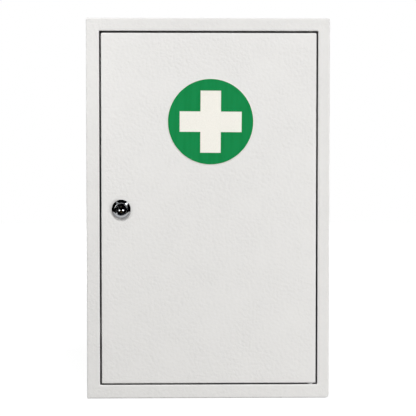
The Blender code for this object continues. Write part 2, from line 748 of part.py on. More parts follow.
def build_plug(chrome, brass, steel, lock_turn):
    """The plug that the key turns, and the sprung wafers that block it without the key."""
    profile = dish_profile() + [
        (PLUG_FACE_RADIUS - PLUG_CHAMFER, PLUG_FACE),
        (PLUG_FACE_RADIUS, PLUG_FACE - PLUG_CHAMFER),
        (PLUG_FACE_RADIUS, PLUG_COLLAR_BACK),
        (PLUG_RADIUS, PLUG_COLLAR_BACK),
        (PLUG_RADIUS, PLUG_SHOULDER),
        (0, PLUG_SHOULDER),
    ]
    plug = placed(turned("lock_plug", profile), chrome, parent=lock_turn)
    tail = prism("plug_tail", tail_outline(), TAIL_END, PLUG_SHOULDER + 2 * SEAT)
    combine(plug, helper(tail, like=plug), "UNION")
    cut(plug, prism("keyway", centred(KEYWAY_WIDTH, KEYWAY_HEIGHT), KEYWAY_END, 2 * HEAD_TOP))
    cut(plug, rod("screw_hole", SCREW_RADIUS + TURN, 2 * TAIL_END, SCREW_TIP + SEAT, 24))
    slot = centred(WAFER_WIDTH + 2 * SEAT, 3 * PLUG_RADIUS)
    window = (WAFER_WINDOW_WIDTH, WAFER_WINDOW_HEIGHT)
    half = WAFER_THICKNESS / 2
    slot_half = half + TURN
    pocket_half = SPRING_COIL + SPRING_WIRE + TURN
    for index in range(WAFER_COUNT):
        number = index + 1
        middle = WAFERS_MIDDLE + WAFER_PITCH * ((WAFER_COUNT - 1) / 2 - index)
        cut(plug, prism(f"wafer_slot_{number}", slot, middle - slot_half, middle + slot_half))
        pocket = (middle - pocket_half, middle + pocket_half)
        cut(plug, prism(f"spring_pocket_{number}", pocket_outline(), *pocket))
        wafer = prism(f"lock_wafer_{number}", wafer_outline(), middle - half, middle + half)
        placed(wafer, brass, parent=lock_turn)
        opening = centred(*window, (0, WAFER_STEP * WAFER_STEPS[index % len(WAFER_STEPS)]))
        cut(wafer, prism(f"wafer_window_{number}", opening, middle - 3 * half, middle + 3 * half))
        spring = tube(f"wafer_spring_{number}", spring_points(middle), SPRING_WIRE)
        placed(spring, steel, parent=lock_turn)


def build_cam(steel, lock_turn):
    """The stop washer, the cam and the screw that holds them on the plug's tail."""
    hole = tail_outline(TURN)
    half = STOP_TAB_HALF_ANGLE
    body = arc(PLUG_RADIUS - SEAT, 270 + half, 630 - half, 32)
    tab = arc(STOP_TAB_REACH, 270 - half, 270 + half, 4)
    stop = prism("lock_stop_washer", body + tab, BARREL_END, STOP_WASHER_FRONT)
    placed(stop, steel, parent=lock_turn)
    cut(stop, prism("stop_washer_hole", hole, 2 * BARREL_END, 0))

    straight = CAM_LENGTH - CAM_TIP_RADIUS
    lean = slope(CAM_HUB_RADIUS - CAM_TIP_RADIUS, straight)
    hub = arc(CAM_HUB_RADIUS, -lean, 180 + lean, 24)
    tip = arc(CAM_TIP_RADIUS, 180 + lean, 360 - lean, 16, (0, -straight))
    cam = placed(prism("lock_cam", hub + tip, CAM_BACK, CAM_FRONT), steel, parent=lock_turn)
    cut(cam, prism("cam_hole", hole, 2 * CAM_BACK, 0))
    soften(cam, CAM_EDGE)

    disc = washer(
        "cam_washer",
        SCREW_RADIUS + TURN,
        CAM_WASHER_RADIUS,
        CAM_WASHER_FRONT - CAM_WASHER,
        CAM_WASHER_FRONT,
    )
    placed(disc, steel, parent=lock_turn)
    head_back = SCREW_HEAD_FRONT - SCREW_HEAD
    screw = hexed("cam_screw", SCREW_HEAD_ACROSS, head_back, SCREW_HEAD_FRONT, steel, lock_turn)
    shank = rod("screw_shank", SCREW_RADIUS, SCREW_HEAD_FRONT - SCREW_HEAD / 2, SCREW_TIP, 24)
    combine(screw, helper(shank, like=screw), "UNION")


def main():
    clear_scene()
    paint = material("powder_coat", (0.78, 0.77, 0.75), 0.45)
    chrome = material("chrome", (0.72, 0.72, 0.73), 0.08, 1.0)
    zinc = material("zinc_plated_steel", (0.62, 0.62, 0.60), 0.35, 1.0)
    brass = material("brass", (0.72, 0.55, 0.25), 0.3, 1.0)
    nylon = material("nylon", (0.80, 0.80, 0.77), 0.5)
    rubber = material("rubber", (0.02, 0.02, 0.02), 0.8)
    film_paint = material("luminous_film", (0.91, 0.88, 0.80), 0.4)
    print_paint = material("green_print", (0.006, 0.23, 0.066), 0.4)

    build_casing(paint)
    build_back_panel(paint)
    build_shelves(paint)
    build_door_stops(paint, rubber)
    build_pivot_pins(zinc, nylon)

    door_pivot = empty("door_pivot", PIVOT_PLACE)
    build_door(paint, zinc, door_pivot)
    build_sign(film_paint, print_paint, door_pivot)

    lock_axis = empty("lock_axis", LOCK_PLACE - PIVOT_PLACE, FACING_FRONT, door_pivot)
    lock_turn = empty("lock_turn", (0, 0, 0), parent=lock_axis)
    build_lock_housing(chrome, zinc, lock_axis)
    build_plug(chrome, brass, zinc, lock_turn)
    build_cam(zinc, lock_turn)


main()
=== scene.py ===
"""Looks of a steel wall cabinet for first aid supplies: a white coated casing with an inset
door on two pivot pins, a chromed cam lock and a green sign printed on luminous film.

Metres, +Z up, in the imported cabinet's frame: the front looks along -Y and the wall is y = 0.
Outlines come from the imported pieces' boxes. Sheets, folds and other sizes that a box doesn't
give stand below as named values.
"""

import json
from math import atan2, cos, degrees, hypot, pi, radians, sin, sqrt, tan

import bmesh
import bpy
from mathutils import Matrix, Vector, noise
from mathutils.geometry import delaunay_2d_cdt


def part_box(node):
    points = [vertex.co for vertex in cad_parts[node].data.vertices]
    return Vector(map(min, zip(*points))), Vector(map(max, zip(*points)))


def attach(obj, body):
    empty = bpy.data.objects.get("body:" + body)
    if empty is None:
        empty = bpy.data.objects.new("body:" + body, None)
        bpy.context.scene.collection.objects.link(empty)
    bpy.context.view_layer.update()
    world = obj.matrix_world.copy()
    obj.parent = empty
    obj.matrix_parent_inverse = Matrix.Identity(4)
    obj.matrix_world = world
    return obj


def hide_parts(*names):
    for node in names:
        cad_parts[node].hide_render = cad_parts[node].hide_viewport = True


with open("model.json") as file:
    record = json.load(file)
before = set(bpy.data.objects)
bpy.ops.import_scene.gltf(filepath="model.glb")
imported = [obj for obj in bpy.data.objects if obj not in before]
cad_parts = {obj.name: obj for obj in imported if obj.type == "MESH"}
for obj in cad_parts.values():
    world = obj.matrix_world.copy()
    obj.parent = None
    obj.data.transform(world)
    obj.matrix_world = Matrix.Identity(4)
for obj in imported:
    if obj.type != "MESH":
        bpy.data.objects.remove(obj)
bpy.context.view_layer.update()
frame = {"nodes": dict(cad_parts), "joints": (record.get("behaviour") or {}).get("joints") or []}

MM = 0.001

# Bodies, by the record's names
CASING = "casing"
DOOR = "door"
ROTOR = "lock_rotor"

# Casing
casing_low, casing_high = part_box("casing")
FRONT = casing_low.y
CASING_SHEET = 1.0 * MM
CASING_FOLD = 1.6 * MM
FRAME_LIP = 17.0 * MM
FRAME_BORDERS = (16.2 * MM, 14.7 * MM, 17.0 * MM, 16.0 * MM)  # latch side, hinge side, bottom, top
OPENING_CORNER = 0.8 * MM
CASING_CORNERS = (1.2 * MM, 4.5 * MM, 1.2 * MM, 2.2 * MM)  # lower latch, then anticlockwise
SMALLEST_CORNER = 0.2 * MM
PIN_HOLE = 2.15 * MM
PIN_DRILL = (1 * MM, 5 * MM)  # from a pin's outer end inwards, through the lip

# Door
door_low, door_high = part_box("door_panel")
DOOR_SHEET = 1.0 * MM
DOOR_FOLD = 1.5 * MM
DOOR_CORNER = 1.2 * MM
DOOR_FLANGE = door_high.y - FRONT
DOOR_DRILL = (-1 * MM, 1.15 * MM)  # from a flange's outside inwards

# Back panel
back_low, back_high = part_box("back_panel")
BACK_SHEET = 0.8 * MM
BACK_FOLD = 1.2 * MM
BACK_FLANGE = back_high.y - back_low.y
BACK_GAP = 0.3 * MM
HANGER_PLACES = [(x * MM, z * MM) for z in (-190, 190) for x in (-100, 100)]
HANGER_HEAD = 5.5 * MM
HANGER_NECK = 2.75 * MM
HANGER_RISE = 11.0 * MM

# Shelves
SHELF_SHEET = 0.8 * MM
SHELF_FOLD = 1.4 * MM
SHELF_CORNER = 1.6 * MM
SHELF_FLANGE = 12.0 * MM

# Fineness of the sheets
FOLD_STEPS = 8
GAP_SHADE_STEPS = 4  # of a fold's steps, over which painted shade fades out away from a gap
CASING_CORNER_STEPS = 8
PAN_CORNER_STEPS = 6
FACE_STEPS = 5
LIP_ROWS = 3
CASING_PITCH = 6 * MM
DOOR_PITCH = 5 * MM
PANEL_PITCH = 7 * MM
SIGN_PITCH = 9 * MM

# Wear with painted highlight on edges and folds, and ground mitres, from 0 to 1
EDGE_RUB_AND_HIGHLIGHT = 0.6
FOLD_END_RUB_AND_HIGHLIGHT = 0.25
HOLE_RUB_AND_HIGHLIGHT = 0.5
FOLD_SEAM = 0.6

# Waviness of the sheets, which are stiff at their folds, corners and holes
STIFF_RIM = 3 * MM
RIM_REACH = 28 * MM
HOLE_REACH = 16 * MM
STIFF_SPOT = 14 * MM
WALL_SAG = 0.16 * MM
WALL_WAVE = 90 * MM
WALL_STIFF_BACK = 11 * MM
WALL_STIFF_CORNER = 6 * MM
WALL_DEPTH_REACH = 25 * MM
WALL_CORNER_REACH = 30 * MM

# Welds
SPOT_WELD_RADIUS = 3.0 * MM
SHELF_SPOT_PITCH = 34.0 * MM
BACK_SPOT_PITCH = 58.0 * MM
BEAD_SINK = 0.1 * MM
CORNER_BEADS = (-118 * MM, -78 * MM, -34 * MM)  # where the beads in the casing's corners start
CORNER_BEAD_LENGTH = 14 * MM
CORNER_IN = 0.4 * MM
ROUND_CORNER_IN = 2.4 * MM  # the lower hinge corner is the rounder one
SHELF_FRONT_BEAD = (10 * MM, 3 * MM)  # down from the shelf's top
SHELF_BEAD_LENGTH = 10 * MM
SHELF_BEAD_BACK = 14 * MM
DOOR_BEAD_IN = 0.5 * MM
DOOR_BEAD_ENDS = (2.2 * MM, 1.4 * MM)  # back from the face, and short of the flange's edge
PLATE_BEAD_LENGTH = 7 * MM
PLATE_BEAD_INSET = 2 * MM

# Lock, with heights forward of the door's face
lock_joint = next(joint for joint in frame["joints"] if joint["name"] == "lock_turn")
LOCK = Vector(lock_joint["pos_m"])
hinge_joint = next(joint for joint in frame["joints"] if joint["name"] == "door_hinge")
HINGE = Vector(hinge_joint["pos_m"])
HEAD_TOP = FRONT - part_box("lock_housing")[0].y
HEAD_RADIUS = 11.65 * MM
HEAD_FLOOR = 0.1 * MM
HEAD_EDGE = 0.35 * MM
SHOULDER_RADIUS = 0.15 * MM
DOME_RADIUS = 6.73 * MM
DOME_OUTER = 42  # degrees, how far the dome leans at its outer edge
DOME_INNER = 6  # degrees, how far it leans at its inner edge
LIP_RADIUS = 0.35 * MM
BEVEL_ANGLE = 40  # degrees, how steeply the ring falls off inside its lip
RECESS_RADIUS = 7.15 * MM
BORE_RADIUS = 6.45 * MM
BARREL_RADIUS = 9.4 * MM
BARREL_FLAT = 8.25 * MM
BARREL_ROOM = 0.15 * MM
BARREL_END = -17.2 * MM
STOP_SPARE = 16  # degrees, how far the stop's notch reaches past each end of the quarter turn
PLUG_FACE = HEAD_TOP - 1.8 * MM
PLUG_COLLAR = PLUG_FACE - 1.6 * MM
PLUG_FACE_RADIUS = 7.0 * MM
PLUG_RIM = 0.35 * MM
PLUG_RADIUS = 6.3 * MM
PLUG_SHOULDER = -15.7 * MM
PLUG_TAIL_END = -19.3 * MM
TAIL_HALF = 3.5 * MM
TAIL_CORNER = 0.5 * MM
TAIL_OVERLAP = 0.6 * MM
SCREW_HOLE = 2.65 * MM
SCREW_HOLE_END = -14.5 * MM
DISH_RADIUS = 3.6 * MM
DISH_DEPTH = 0.25 * MM
DISH_STEPS = 14
KEYWAY_WIDTH = 2.0 * MM
KEYWAY_HEIGHT = 8.4 * MM
KEYWAY_CORNER = 0.35 * MM
WARD_DEPTH = 0.45 * MM
WARD_OUTER = (1.9 * MM, 0.4 * MM)  # where a ward ridge meets the slot's side
WARD_INNER = (1.6 * MM, 0.7 * MM)
THREAD_PITCH = 1.0 * MM
THREAD_RIDGE = 0.32 * MM
THREAD_COUNT = 13
THREAD_START = 31  # degrees
THREAD_SWEEP = 118

# Wafers and springs in the plug
WAFER_COUNT = 5
WAFER_PITCH = 2.3 * MM
WAFER_WIDTH = 5.4 * MM
WAFER_THICKNESS = 0.8 * MM
WAFER_EAR = 1.9 * MM
WAFER_ROOM = 0.3 * MM
SLOT_ROOM = 0.15 * MM
EAR_UNDER = 1.0 * MM
EAR_RISE = 2.3 * MM
SPRING_RADIUS = 0.5 * MM
SPRING_WIRE = 0.13 * MM
SPRING_LENGTH = 2.2 * MM
SPRING_TURNS = 5.0

# Door stops' pads
PAD_CORNER = 0.5 * MM
PAD_EASE = 0.15 * MM
RIB_RADIUS = 0.5 * MM
RIB_PITCH = 1.6 * MM
RIB_INSET = 0.2 * MM

# Sign
SIGN_LIFT = 0.1 * MM
FILM_THICKNESS = 0.3 * MM
PRINT_THICKNESS = 0.15 * MM
CROSS_LENGTH = 76.5 * MM
CROSS_ARM = 25.3 * MM
CROSS_STEPS = 6
DISC_STEPS = 120
SIGN_LEAN = -0.4  # degrees, as it was stuck on by hand

# Tones, as linear colours
POWDER_THICK = (0.800, 0.790, 0.772)
POWDER_THIN = (0.745, 0.737, 0.722)
POWDER_SPECK = (0.86, 0.85, 0.835)
# Rubbed coat: also a painted highlight on folds and edges
POWDER_RUBBED_HIGHLIGHT = (0.88, 0.875, 0.865)
# Painted shade: the near-black tone that the insides of the gaps are painted with
GAP_SHADE_TONE = (0.11, 0.11, 0.112)
CASING_LEVEL = 0.975
PALE_DUST = (0.55, 0.53, 0.49)
DARK_DUST = (0.4, 0.38, 0.35)
CHROME_TONE = (0.40, 0.405, 0.415)
# Painted shade: darkens what the chrome head's outer band mirrors
CHROME_OUTER_SHADE = (0.22, 0.22, 0.225)
FILM_DEEP = (0.86, 0.835, 0.765)
FILM_GRAIN = (0.92, 0.895, 0.825)
FILM_CLOUD = (0.80, 0.785, 0.72)
INK_THICK = (0.0072, 0.2165, 0.0574)
INK_THIN = (0.0092, 0.237, 0.0664)
INK_SPECK = (0.005, 0.266, 0.082)

# Camera, which stood two metres away, a little left of the cabinet's middle and above it
CAMERA_PLACE = Vector((-0.0488, FRONT - 2.0, 0.0969))
CAMERA_DOWN = 2.733  # degrees
CAMERA_RIGHT = 1.392
CAMERA_LENS = 140.4
SENSOR_WIDTH = 36

# Studio
WHITE = (1.0, 1.0, 1.0, 1.0)
WORLD_TONE = (1.0, 0.995, 0.985, 1.0)
WORLD_STRENGTH = 0.10
FLOOR_REACH = 3.6
FLOOR_TONE = (0.3, 0.3, 0.298, 1.0)  # as it lights the cabinet
FLOOR_SEEN_TONE = (0.2, 0.2, 0.199, 1.0)  # as it is seen, under its glow
FLOOR_GLOW = (0.87, 1.0)  # under the cabinet and far from it
FLOOR_GLOW_REACH = (0.5, 2.4)
# Seen only in polished metal: a painted dark reflection
MIRROR_ONLY_DARK_TONE = (0.004, 0.004, 0.004, 1.0)
BACKDROP_RADIUS = 0.78
BACKDROP_LOW = -18  # degrees, seen from the lock
BACKDROP_HIGH = 90
BACKDROP_COLUMNS = 48
BACKDROP_ROWS = 16
STRIP_FAR = 0.7

# Meshes: angles in degrees, over which an edge stays sharp or is eased
SHARP_ANGLE = 32
TURNED_SHARP_ANGLE = 28
EASED_ANGLE = 35
MERGE = 1e-6


# Node helpers


def fill(tree, node, values):
    """Links each value that is a socket to its input, and sets any other."""
    for name, value in values.items():
        if isinstance(value, bpy.types.NodeSocket):
            tree.links.new(value, node.inputs[name])
        else:
            node.inputs[name].default_value = value


def add(tree, kind, values=None, **settings):
    """A node in a tree, with its settings and then its inputs filled."""
    made = tree.nodes.new(kind)
    for name, value in settings.items():
        setattr(made, name, value)
    fill(tree, made, values or {})
    return made


def maths(tree, operation, *values):
    return add(tree, "ShaderNodeMath", dict(enumerate(values)), operation=operation).outputs[0]


def times(tree, first, second):
    return maths(tree, "MULTIPLY", first, second)


def diagonal(tree, first, second):
    """The length of the diagonal over two sides."""
    squares = [maths(tree, "POWER", side, 2.0) for side in (first, second)]
    return maths(tree, "SQRT", maths(tree, "ADD", *squares))


def ranged(tree, value, low, high, to_low=0.0, to_high=1.0):
    """The value's way from low to high, as a soft way from to_low to to_high."""
    values = {"Value": value, "From Min": low, "From Max": high, "To Min": to_low, "To Max": to_high}
    return add(tree, "ShaderNodeMapRange", values, interpolation_type="SMOOTHSTEP").outputs["Result"]


def mixed(tree, factor, first, second, blend="MIX"):
    """A colour between two colours, or the product of two."""
    colours = [c if isinstance(c, bpy.types.NodeSocket) else (*c, 1.0) for c in (first, second)]
    values = {0: factor, 6: colours[0], 7: colours[1]}
    return add(tree, "ShaderNodeMix", values, data_type="RGBA", blend_type=blend).outputs[2]


def grain(tree, place, scale, detail=2.0, roughness=0.5, distortion=0.0):
    """Noise over a place, from 0 to 1."""
    values = {
        "Vector": place,
        "Scale": scale,
        "Detail": detail,
        "Roughness": roughness,
        "Distortion": distortion,
    }
    return add(tree, "ShaderNodeTexNoise", values).outputs["Fac"]


def split(tree, vector):
    return add(tree, "ShaderNodeSeparateXYZ", {0: vector}).outputs


def carried(tree, name):
    """A value that the mesh carries at each of its points."""
    return add(tree, "ShaderNodeAttribute", attribute_name=name).outputs["Fac"]


def node_group(name, kind, inputs, outputs):
    """An empty group with named sockets. Returns it, its input sockets and its output node."""
    tree = bpy.data.node_groups.new(name, kind)
    for label, socket_type, value in inputs:
        socket = tree.interface.new_socket(name=label, in_out="INPUT", socket_type=socket_type)
        if value is not None:
            socket.default_value = value
    for label, socket_type in outputs:
        tree.interface.new_socket(name=label, in_out="OUTPUT", socket_type=socket_type)
    given = tree.nodes.new("NodeGroupInput").outputs
    wanted = tree.nodes.new("NodeGroupOutput")
    return tree, given, wanted


FLOAT = "NodeSocketFloat"
VECTOR = "NodeSocketVector"
COLOUR = "NodeSocketColor"
GEOMETRY = "NodeSocketGeometry"
SUBSTANCE = "NodeSocketMaterial"
WHOLE = "NodeSocketInt"


# Shader groups: effects that several finishes share


def coat_skin_group():
    """The cloudy, pebbled skin that sprayed powder takes when it melts."""
    tree, given, wanted = node_group(
        "coat_skin",
        "ShaderNodeTree",
        [("Vector", VECTOR, None), ("Peel", FLOAT, 420.0), ("Cloud", FLOAT, 22.0)],
        [("Height", FLOAT), ("Cloud", FLOAT), ("Speckle", FLOAT)],
    )
    place, peel_scale = given["Vector"], given["Peel"]
    peel = grain(tree, place, peel_scale, roughness=0.55)
    cells = add(
        tree,
        "ShaderNodeTexVoronoi",
        {"Vector": place, "Scale": times(tree, peel_scale, 1.15), "Smoothness": 0.9},
        feature="SMOOTH_F1",
    ).outputs["Distance"]
    cloud = grain(tree, place, given["Cloud"], detail=3.0, roughness=0.6)
    patches = ranged(tree, cloud, 0.35, 0.65, 0.55, 1.0)
    pebbles = maths(tree, "SUBTRACT", peel, times(tree, cells, 0.45))
    speckle = ranged(tree, peel, 0.32, 0.68)
    fill(tree, wanted, {"Height": times(tree, pebbles, patches), "Cloud": cloud, "Speckle": speckle})
    return tree


def edge_rub_and_highlight_group():
    """Where handling has polished the folds and edges, which also paints a highlight on them. Fold is 1 on
    a fold and 0 on a flat.
    """
    tree, given, wanted = node_group(
        "edge_rub_and_highlight",
        "ShaderNodeTree",
        [("Vector", VECTOR, None), ("Fold", FLOAT, 0.0), ("Grain", FLOAT, 160.0)],
        [("Mask", FLOAT)],
    )
    patchy = grain(tree, given["Vector"], given["Grain"], detail=3.0)
    worn = maths(tree, "ADD", given["Fold"], times(tree, patchy, 0.5))
    fill(tree, wanted, {"Mask": ranged(tree, worn, 0.75, 1.3)})
    return tree


def settled_dust_group():
    """Dust that gathers on faces that look up."""
    tree, given, wanted = node_group(
        "settled_dust",
        "ShaderNodeTree",
        [("Vector", VECTOR, None), ("Normal", VECTOR, None), ("Grain", FLOAT, 900.0)],
        [("Mask", FLOAT)],
    )
    lying = ranged(tree, split(tree, given["Normal"])["Z"], 0.75, 0.98)
    specks = ranged(tree, grain(tree, given["Vector"], given["Grain"], 3.0, 0.7), 0.45, 0.75)
    drifts = ranged(tree, grain(tree, given["Vector"], 14.0), 0.3, 0.7)
    fill(tree, wanted, {"Mask": times(tree, lying, times(tree, specks, drifts))})
    return tree


def weld_dimple_group():
    """A row of shallow spot weld marks. Along runs down the row, and Across runs off it."""
    tree, given, wanted = node_group(
        "weld_dimples",
        "ShaderNodeTree",
        [
            ("Along", FLOAT, 0.0),
            ("Across", FLOAT, 0.0),
            ("Pitch", FLOAT, 0.05),
            ("Radius", FLOAT, 0.0025),
        ],
        [("Depth", FLOAT)],
    )
    turn = maths(tree, "DIVIDE", given["Along"], given["Pitch"])
    part = maths(tree, "SUBTRACT", maths(tree, "FRACT", turn), 0.5)
    off = times(tree, part, given["Pitch"])
    away = maths(tree, "DIVIDE", diagonal(tree, off, given["Across"]), given["Radius"])
    fill(tree, wanted, {"Depth": ranged(tree, away, 0.35, 1.0, 1.0, 0.0)})
    return tree


def hairline_group():
    """Fine scratches in two directions, broken up so that none runs far."""
    tree, given, wanted = node_group(
        "hairlines",
        "ShaderNodeTree",
        [("Vector", VECTOR, None), ("Density", FLOAT, 500.0)],
        [("Mask", FLOAT)],
    )
    marks = []
    for angle, stretch in ((0.45, 14.0), (-1.05, 18.0)):
        turned = add(
            tree,
            "ShaderNodeMapping",
            {"Vector": given["Vector"], "Rotation": (angle,) * 3, "Scale": (1.0, stretch, 1.0)},
        ).outputs["Vector"]
        marks.append(ranged(tree, grain(tree, turned, given["Density"]), 0.62, 0.72))
    fill(tree, wanted, {"Mask": maths(tree, "MAXIMUM", *marks)})
    return tree


def lathe_group():
    """Tool rings on a turned face. The vector's middle is the turning axis, along Y."""
    tree, given, wanted = node_group(
        "lathe_rings",
        "ShaderNodeTree",
        [("Vector", VECTOR, None), ("Rings", FLOAT, 9000.0)],
        [("Height", FLOAT)],
    )
    parts = split(tree, given["Vector"])
    reach = maths(tree, "ADD", diagonal(tree, parts["X"], parts["Z"]), parts["Y"])
    wave = maths(tree, "SINE", times(tree, reach, given["Rings"]))
    fill(tree, wanted, {"Height": times(tree, wave, grain(tree, given["Vector"], 700.0))})
    return tree


def plating_group():
    """Blue and straw tints where a plating's thickness changes."""
    tree, given, wanted = node_group(
        "plating_tint",
        "ShaderNodeTree",
        [("Vector", VECTOR, None), ("Base", COLOUR, (0.6, 0.6, 0.58, 1.0)), ("Drift", FLOAT, 120.0)],
        [("Colour", COLOUR), ("Patch", FLOAT)],
    )
    patch = grain(tree, given["Vector"], given["Drift"], detail=3.0, distortion=0.4)
    cool = mixed(tree, ranged(tree, patch, 0.5, 0.72), (1.0, 1.0, 1.0), (0.90, 0.96, 1.0))
    warm = mixed(tree, ranged(tree, patch, 0.28, 0.5, 1.0, 0.0), cool, (1.0, 0.97, 0.86))
    tinted = mixed(tree, 1.0, given["Base"], warm, blend="MULTIPLY")
    fill(tree, wanted, {"Colour": tinted, "Patch": patch})
    return tree


GROUPS = {
    "skin": coat_skin_group(),
    "rub_and_highlight": edge_rub_and_highlight_group(),
    "dust": settled_dust_group(),
    "dimples": weld_dimple_group(),
    "hairlines": hairline_group(),
    "lathe": lathe_group(),
    "plating": plating_group(),
}


def effect(tree, name, values):
    """One of the shared groups, placed in a finish with its own values."""
    return add(tree, "ShaderNodeGroup", values, node_tree=GROUPS[name]).outputs


# Finishes


def finish(name):
    """A material with its tree, its shader and its coordinates."""
    made = bpy.data.materials.new(name)
    made.use_nodes = True
    tree = made.node_tree
    shader = tree.nodes["Principled BSDF"]
    where = add(tree, "ShaderNodeTexCoord").outputs
    return made, tree, shader, where


def feed(tree, shader, tone, gloss, normal):
    fill(tree, shader, {"Base Color": tone, "Roughness": gloss, "Normal": normal})


def bumped(tree, height, distance, before=None):
    values = {"Height": height, "Distance": distance, "Strength": 1.0}
    if before is not None:
        values["Normal"] = before
    return add(tree, "ShaderNodeBump", values).outputs["Normal"]


def powder_coat(name, casing_marks):
    """White powder coat. The casing's is a little darker, and shows its welds and ground mitres."""
    level = CASING_LEVEL if casing_marks else 1.0
    made, tree, shader, where = finish(name)
    place = where["Object"]
    skin = effect(tree, "skin", {"Vector": place, "Peel": 250.0, "Cloud": 26.0})
    rub_and_highlight = effect(tree, "rub_and_highlight", {"Vector": place, "Fold": carried(tree, "fold")})["Mask"]
    dust = effect(tree, "dust", {"Vector": place, "Normal": where["Normal"]})["Mask"]
    thick, thin = (tuple(level * part for part in tone) for tone in (POWDER_THICK, POWDER_THIN))
    tone = mixed(tree, skin["Cloud"], thick, thin)
    tone = mixed(tree, times(tree, skin["Speckle"], 0.12), tone, POWDER_SPECK)
    # Lighter where rubbed, which also paints a highlight on the folds
    tone = mixed(tree, times(tree, rub_and_highlight, 0.6), tone, POWDER_RUBBED_HIGHLIGHT)
    tone = mixed(tree, times(tree, dust, 0.35), tone, PALE_DUST)
    # Painted shade: darkens the coat almost to black where the mesh carries recess, inside the gaps
    gap_shade_strength = ranged(tree, skin["Cloud"], 0.3, 0.7, 0.90, 0.98)
    tone = mixed(tree, times(tree, carried(tree, "recess"), gap_shade_strength), tone, GAP_SHADE_TONE)
    gloss = ranged(tree, skin["Speckle"], 0.0, 1.0, 0.44, 0.54)
    gloss = maths(tree, "ADD", gloss, times(tree, dust, 0.2))
    shader.inputs["Specular IOR Level"].default_value = 0.35
    normal = bumped(tree, skin["Height"], 0.5 * MM)
    if casing_marks:
        normal = bumped(tree, casing_mark_height(tree, place), 0.12 * MM, before=normal)
    feed(tree, shader, tone, gloss, normal)
    return made


def casing_mark_height(tree, place):
    """Spot welds of the shelves and the back panel in the walls, and the ground mitres."""
    parts = split(tree, place)
    off_middle = maths(tree, "ABSOLUTE", parts["X"])
    on_side = maths(tree, "GREATER_THAN", off_middle, casing_high.x - CASING_FOLD)
    rows = []
    spots = {"Along": parts["Y"], "Pitch": SHELF_SPOT_PITCH, "Radius": SPOT_WELD_RADIUS}
    for number in (1, 2):
        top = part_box(f"shelf_{number}")[1].z
        off = maths(tree, "SUBTRACT", parts["Z"], top - SHELF_FLANGE / 2)
        row = effect(tree, "dimples", {**spots, "Across": off})
        rows.append(times(tree, row["Depth"], on_side))
    off = maths(tree, "ADD", parts["Y"], BACK_FLANGE / 2)
    along = add(tree, "ShaderNodeMix", {0: on_side, 2: parts["X"], 3: parts["Z"]}, data_type="FLOAT")
    spots = {"Along": along.outputs[0], "Pitch": BACK_SPOT_PITCH, "Radius": SPOT_WELD_RADIUS}
    rows.append(effect(tree, "dimples", {**spots, "Across": off})["Depth"])
    deepest = maths(tree, "MAXIMUM", maths(tree, "MAXIMUM", rows[0], rows[1]), rows[2])
    ground = ranged(tree, grain(tree, place, 260.0), 0.4, 0.7)
    mitre = times(tree, times(tree, carried(tree, "seam"), ground), 0.9)
    return maths(tree, "SUBTRACT", mitre, deepest)


def chrome():
    """Bright chrome with wiping marks, faint tool rings, and painted shade that darkens the head's outer
    band.
    """
    made, tree, shader, where = finish("chrome_plate")
    place = where["Object"]
    middle = tuple(-value for value in LOCK)
    centred = add(tree, "ShaderNodeMapping", {"Vector": place, "Location": middle}).outputs["Vector"]
    rings = effect(tree, "lathe", {"Vector": centred, "Rings": 11000.0})["Height"]
    wipes = effect(tree, "hairlines", {"Vector": place, "Density": 700.0})["Mask"]
    plate = effect(tree, "plating", {"Vector": place, "Base": (*CHROME_TONE, 1.0), "Drift": 260.0})
    parts = split(tree, centred)
    off = diagonal(tree, parts["X"], parts["Z"])
    # Painted shade: the head's outer band is darkened, as a darker reflection
    outer_band_shade = ranged(tree, off, HEAD_RADIUS - 2.2 * MM, HEAD_RADIUS - 0.8 * MM)
    shaded_plate = mixed(tree, outer_band_shade, plate["Colour"], CHROME_OUTER_SHADE)
    rough = ranged(tree, plate["Patch"], 0.3, 0.7, 0.05, 0.10)
    rough = maths(tree, "ADD", rough, times(tree, wipes, 0.10))
    shader.inputs["Metallic"].default_value = 1.0
    feed(tree, shader, shaded_plate, rough, bumped(tree, rings, 0.0012 * MM))
    return made


def metal(name, base, rough, drift, density, grain_depth):
    """A worked metal with its own tint, grain and scratches."""
    made, tree, shader, where = finish(name)
    place = where["Object"]
    plate = effect(tree, "plating", {"Vector": place, "Base": (*base, 1.0), "Drift": drift})
    lines = effect(tree, "hairlines", {"Vector": place, "Density": density})["Mask"]
    rub_and_highlight = effect(tree, "rub_and_highlight", {"Vector": place, "Fold": carried(tree, "fold"), "Grain": 900.0})["Mask"]
    dull, bright = tuple(part * 0.72 for part in base), tuple(min(part * 1.25, 0.95) for part in base)
    tone = mixed(tree, times(tree, lines, 0.35), plate["Colour"], dull)
    tone = mixed(tree, times(tree, rub_and_highlight, 0.5), tone, bright)
    gloss = ranged(tree, plate["Patch"], 0.3, 0.7, rough - 0.07, rough + 0.07)
    gloss = maths(tree, "ADD", gloss, times(tree, lines, 0.12))
    shader.inputs["Metallic"].default_value = 1.0
    feed(tree, shader, tone, gloss, bumped(tree, grain(tree, place, 2600.0), grain_depth))
    return made


def moulded(name, light, dark, rough, grain_scale, depth):
    """Nylon or rubber, with the fine grain of its mould."""
    made, tree, shader, where = finish(name)
    place = where["Object"]
    skin = effect(tree, "skin", {"Vector": place, "Peel": grain_scale, "Cloud": 160.0})
    dust = effect(tree, "dust", {"Vector": place, "Normal": where["Normal"]})["Mask"]
    tone = mixed(tree, skin["Speckle"], dark, light)
    tone = mixed(tree, times(tree, dust, 0.3), tone, DARK_DUST)
    gloss = ranged(tree, skin["Speckle"], 0.0, 1.0, rough - 0.06, rough + 0.06)
    feed(tree, shader, tone, gloss, bumped(tree, skin["Height"], depth))
    return made


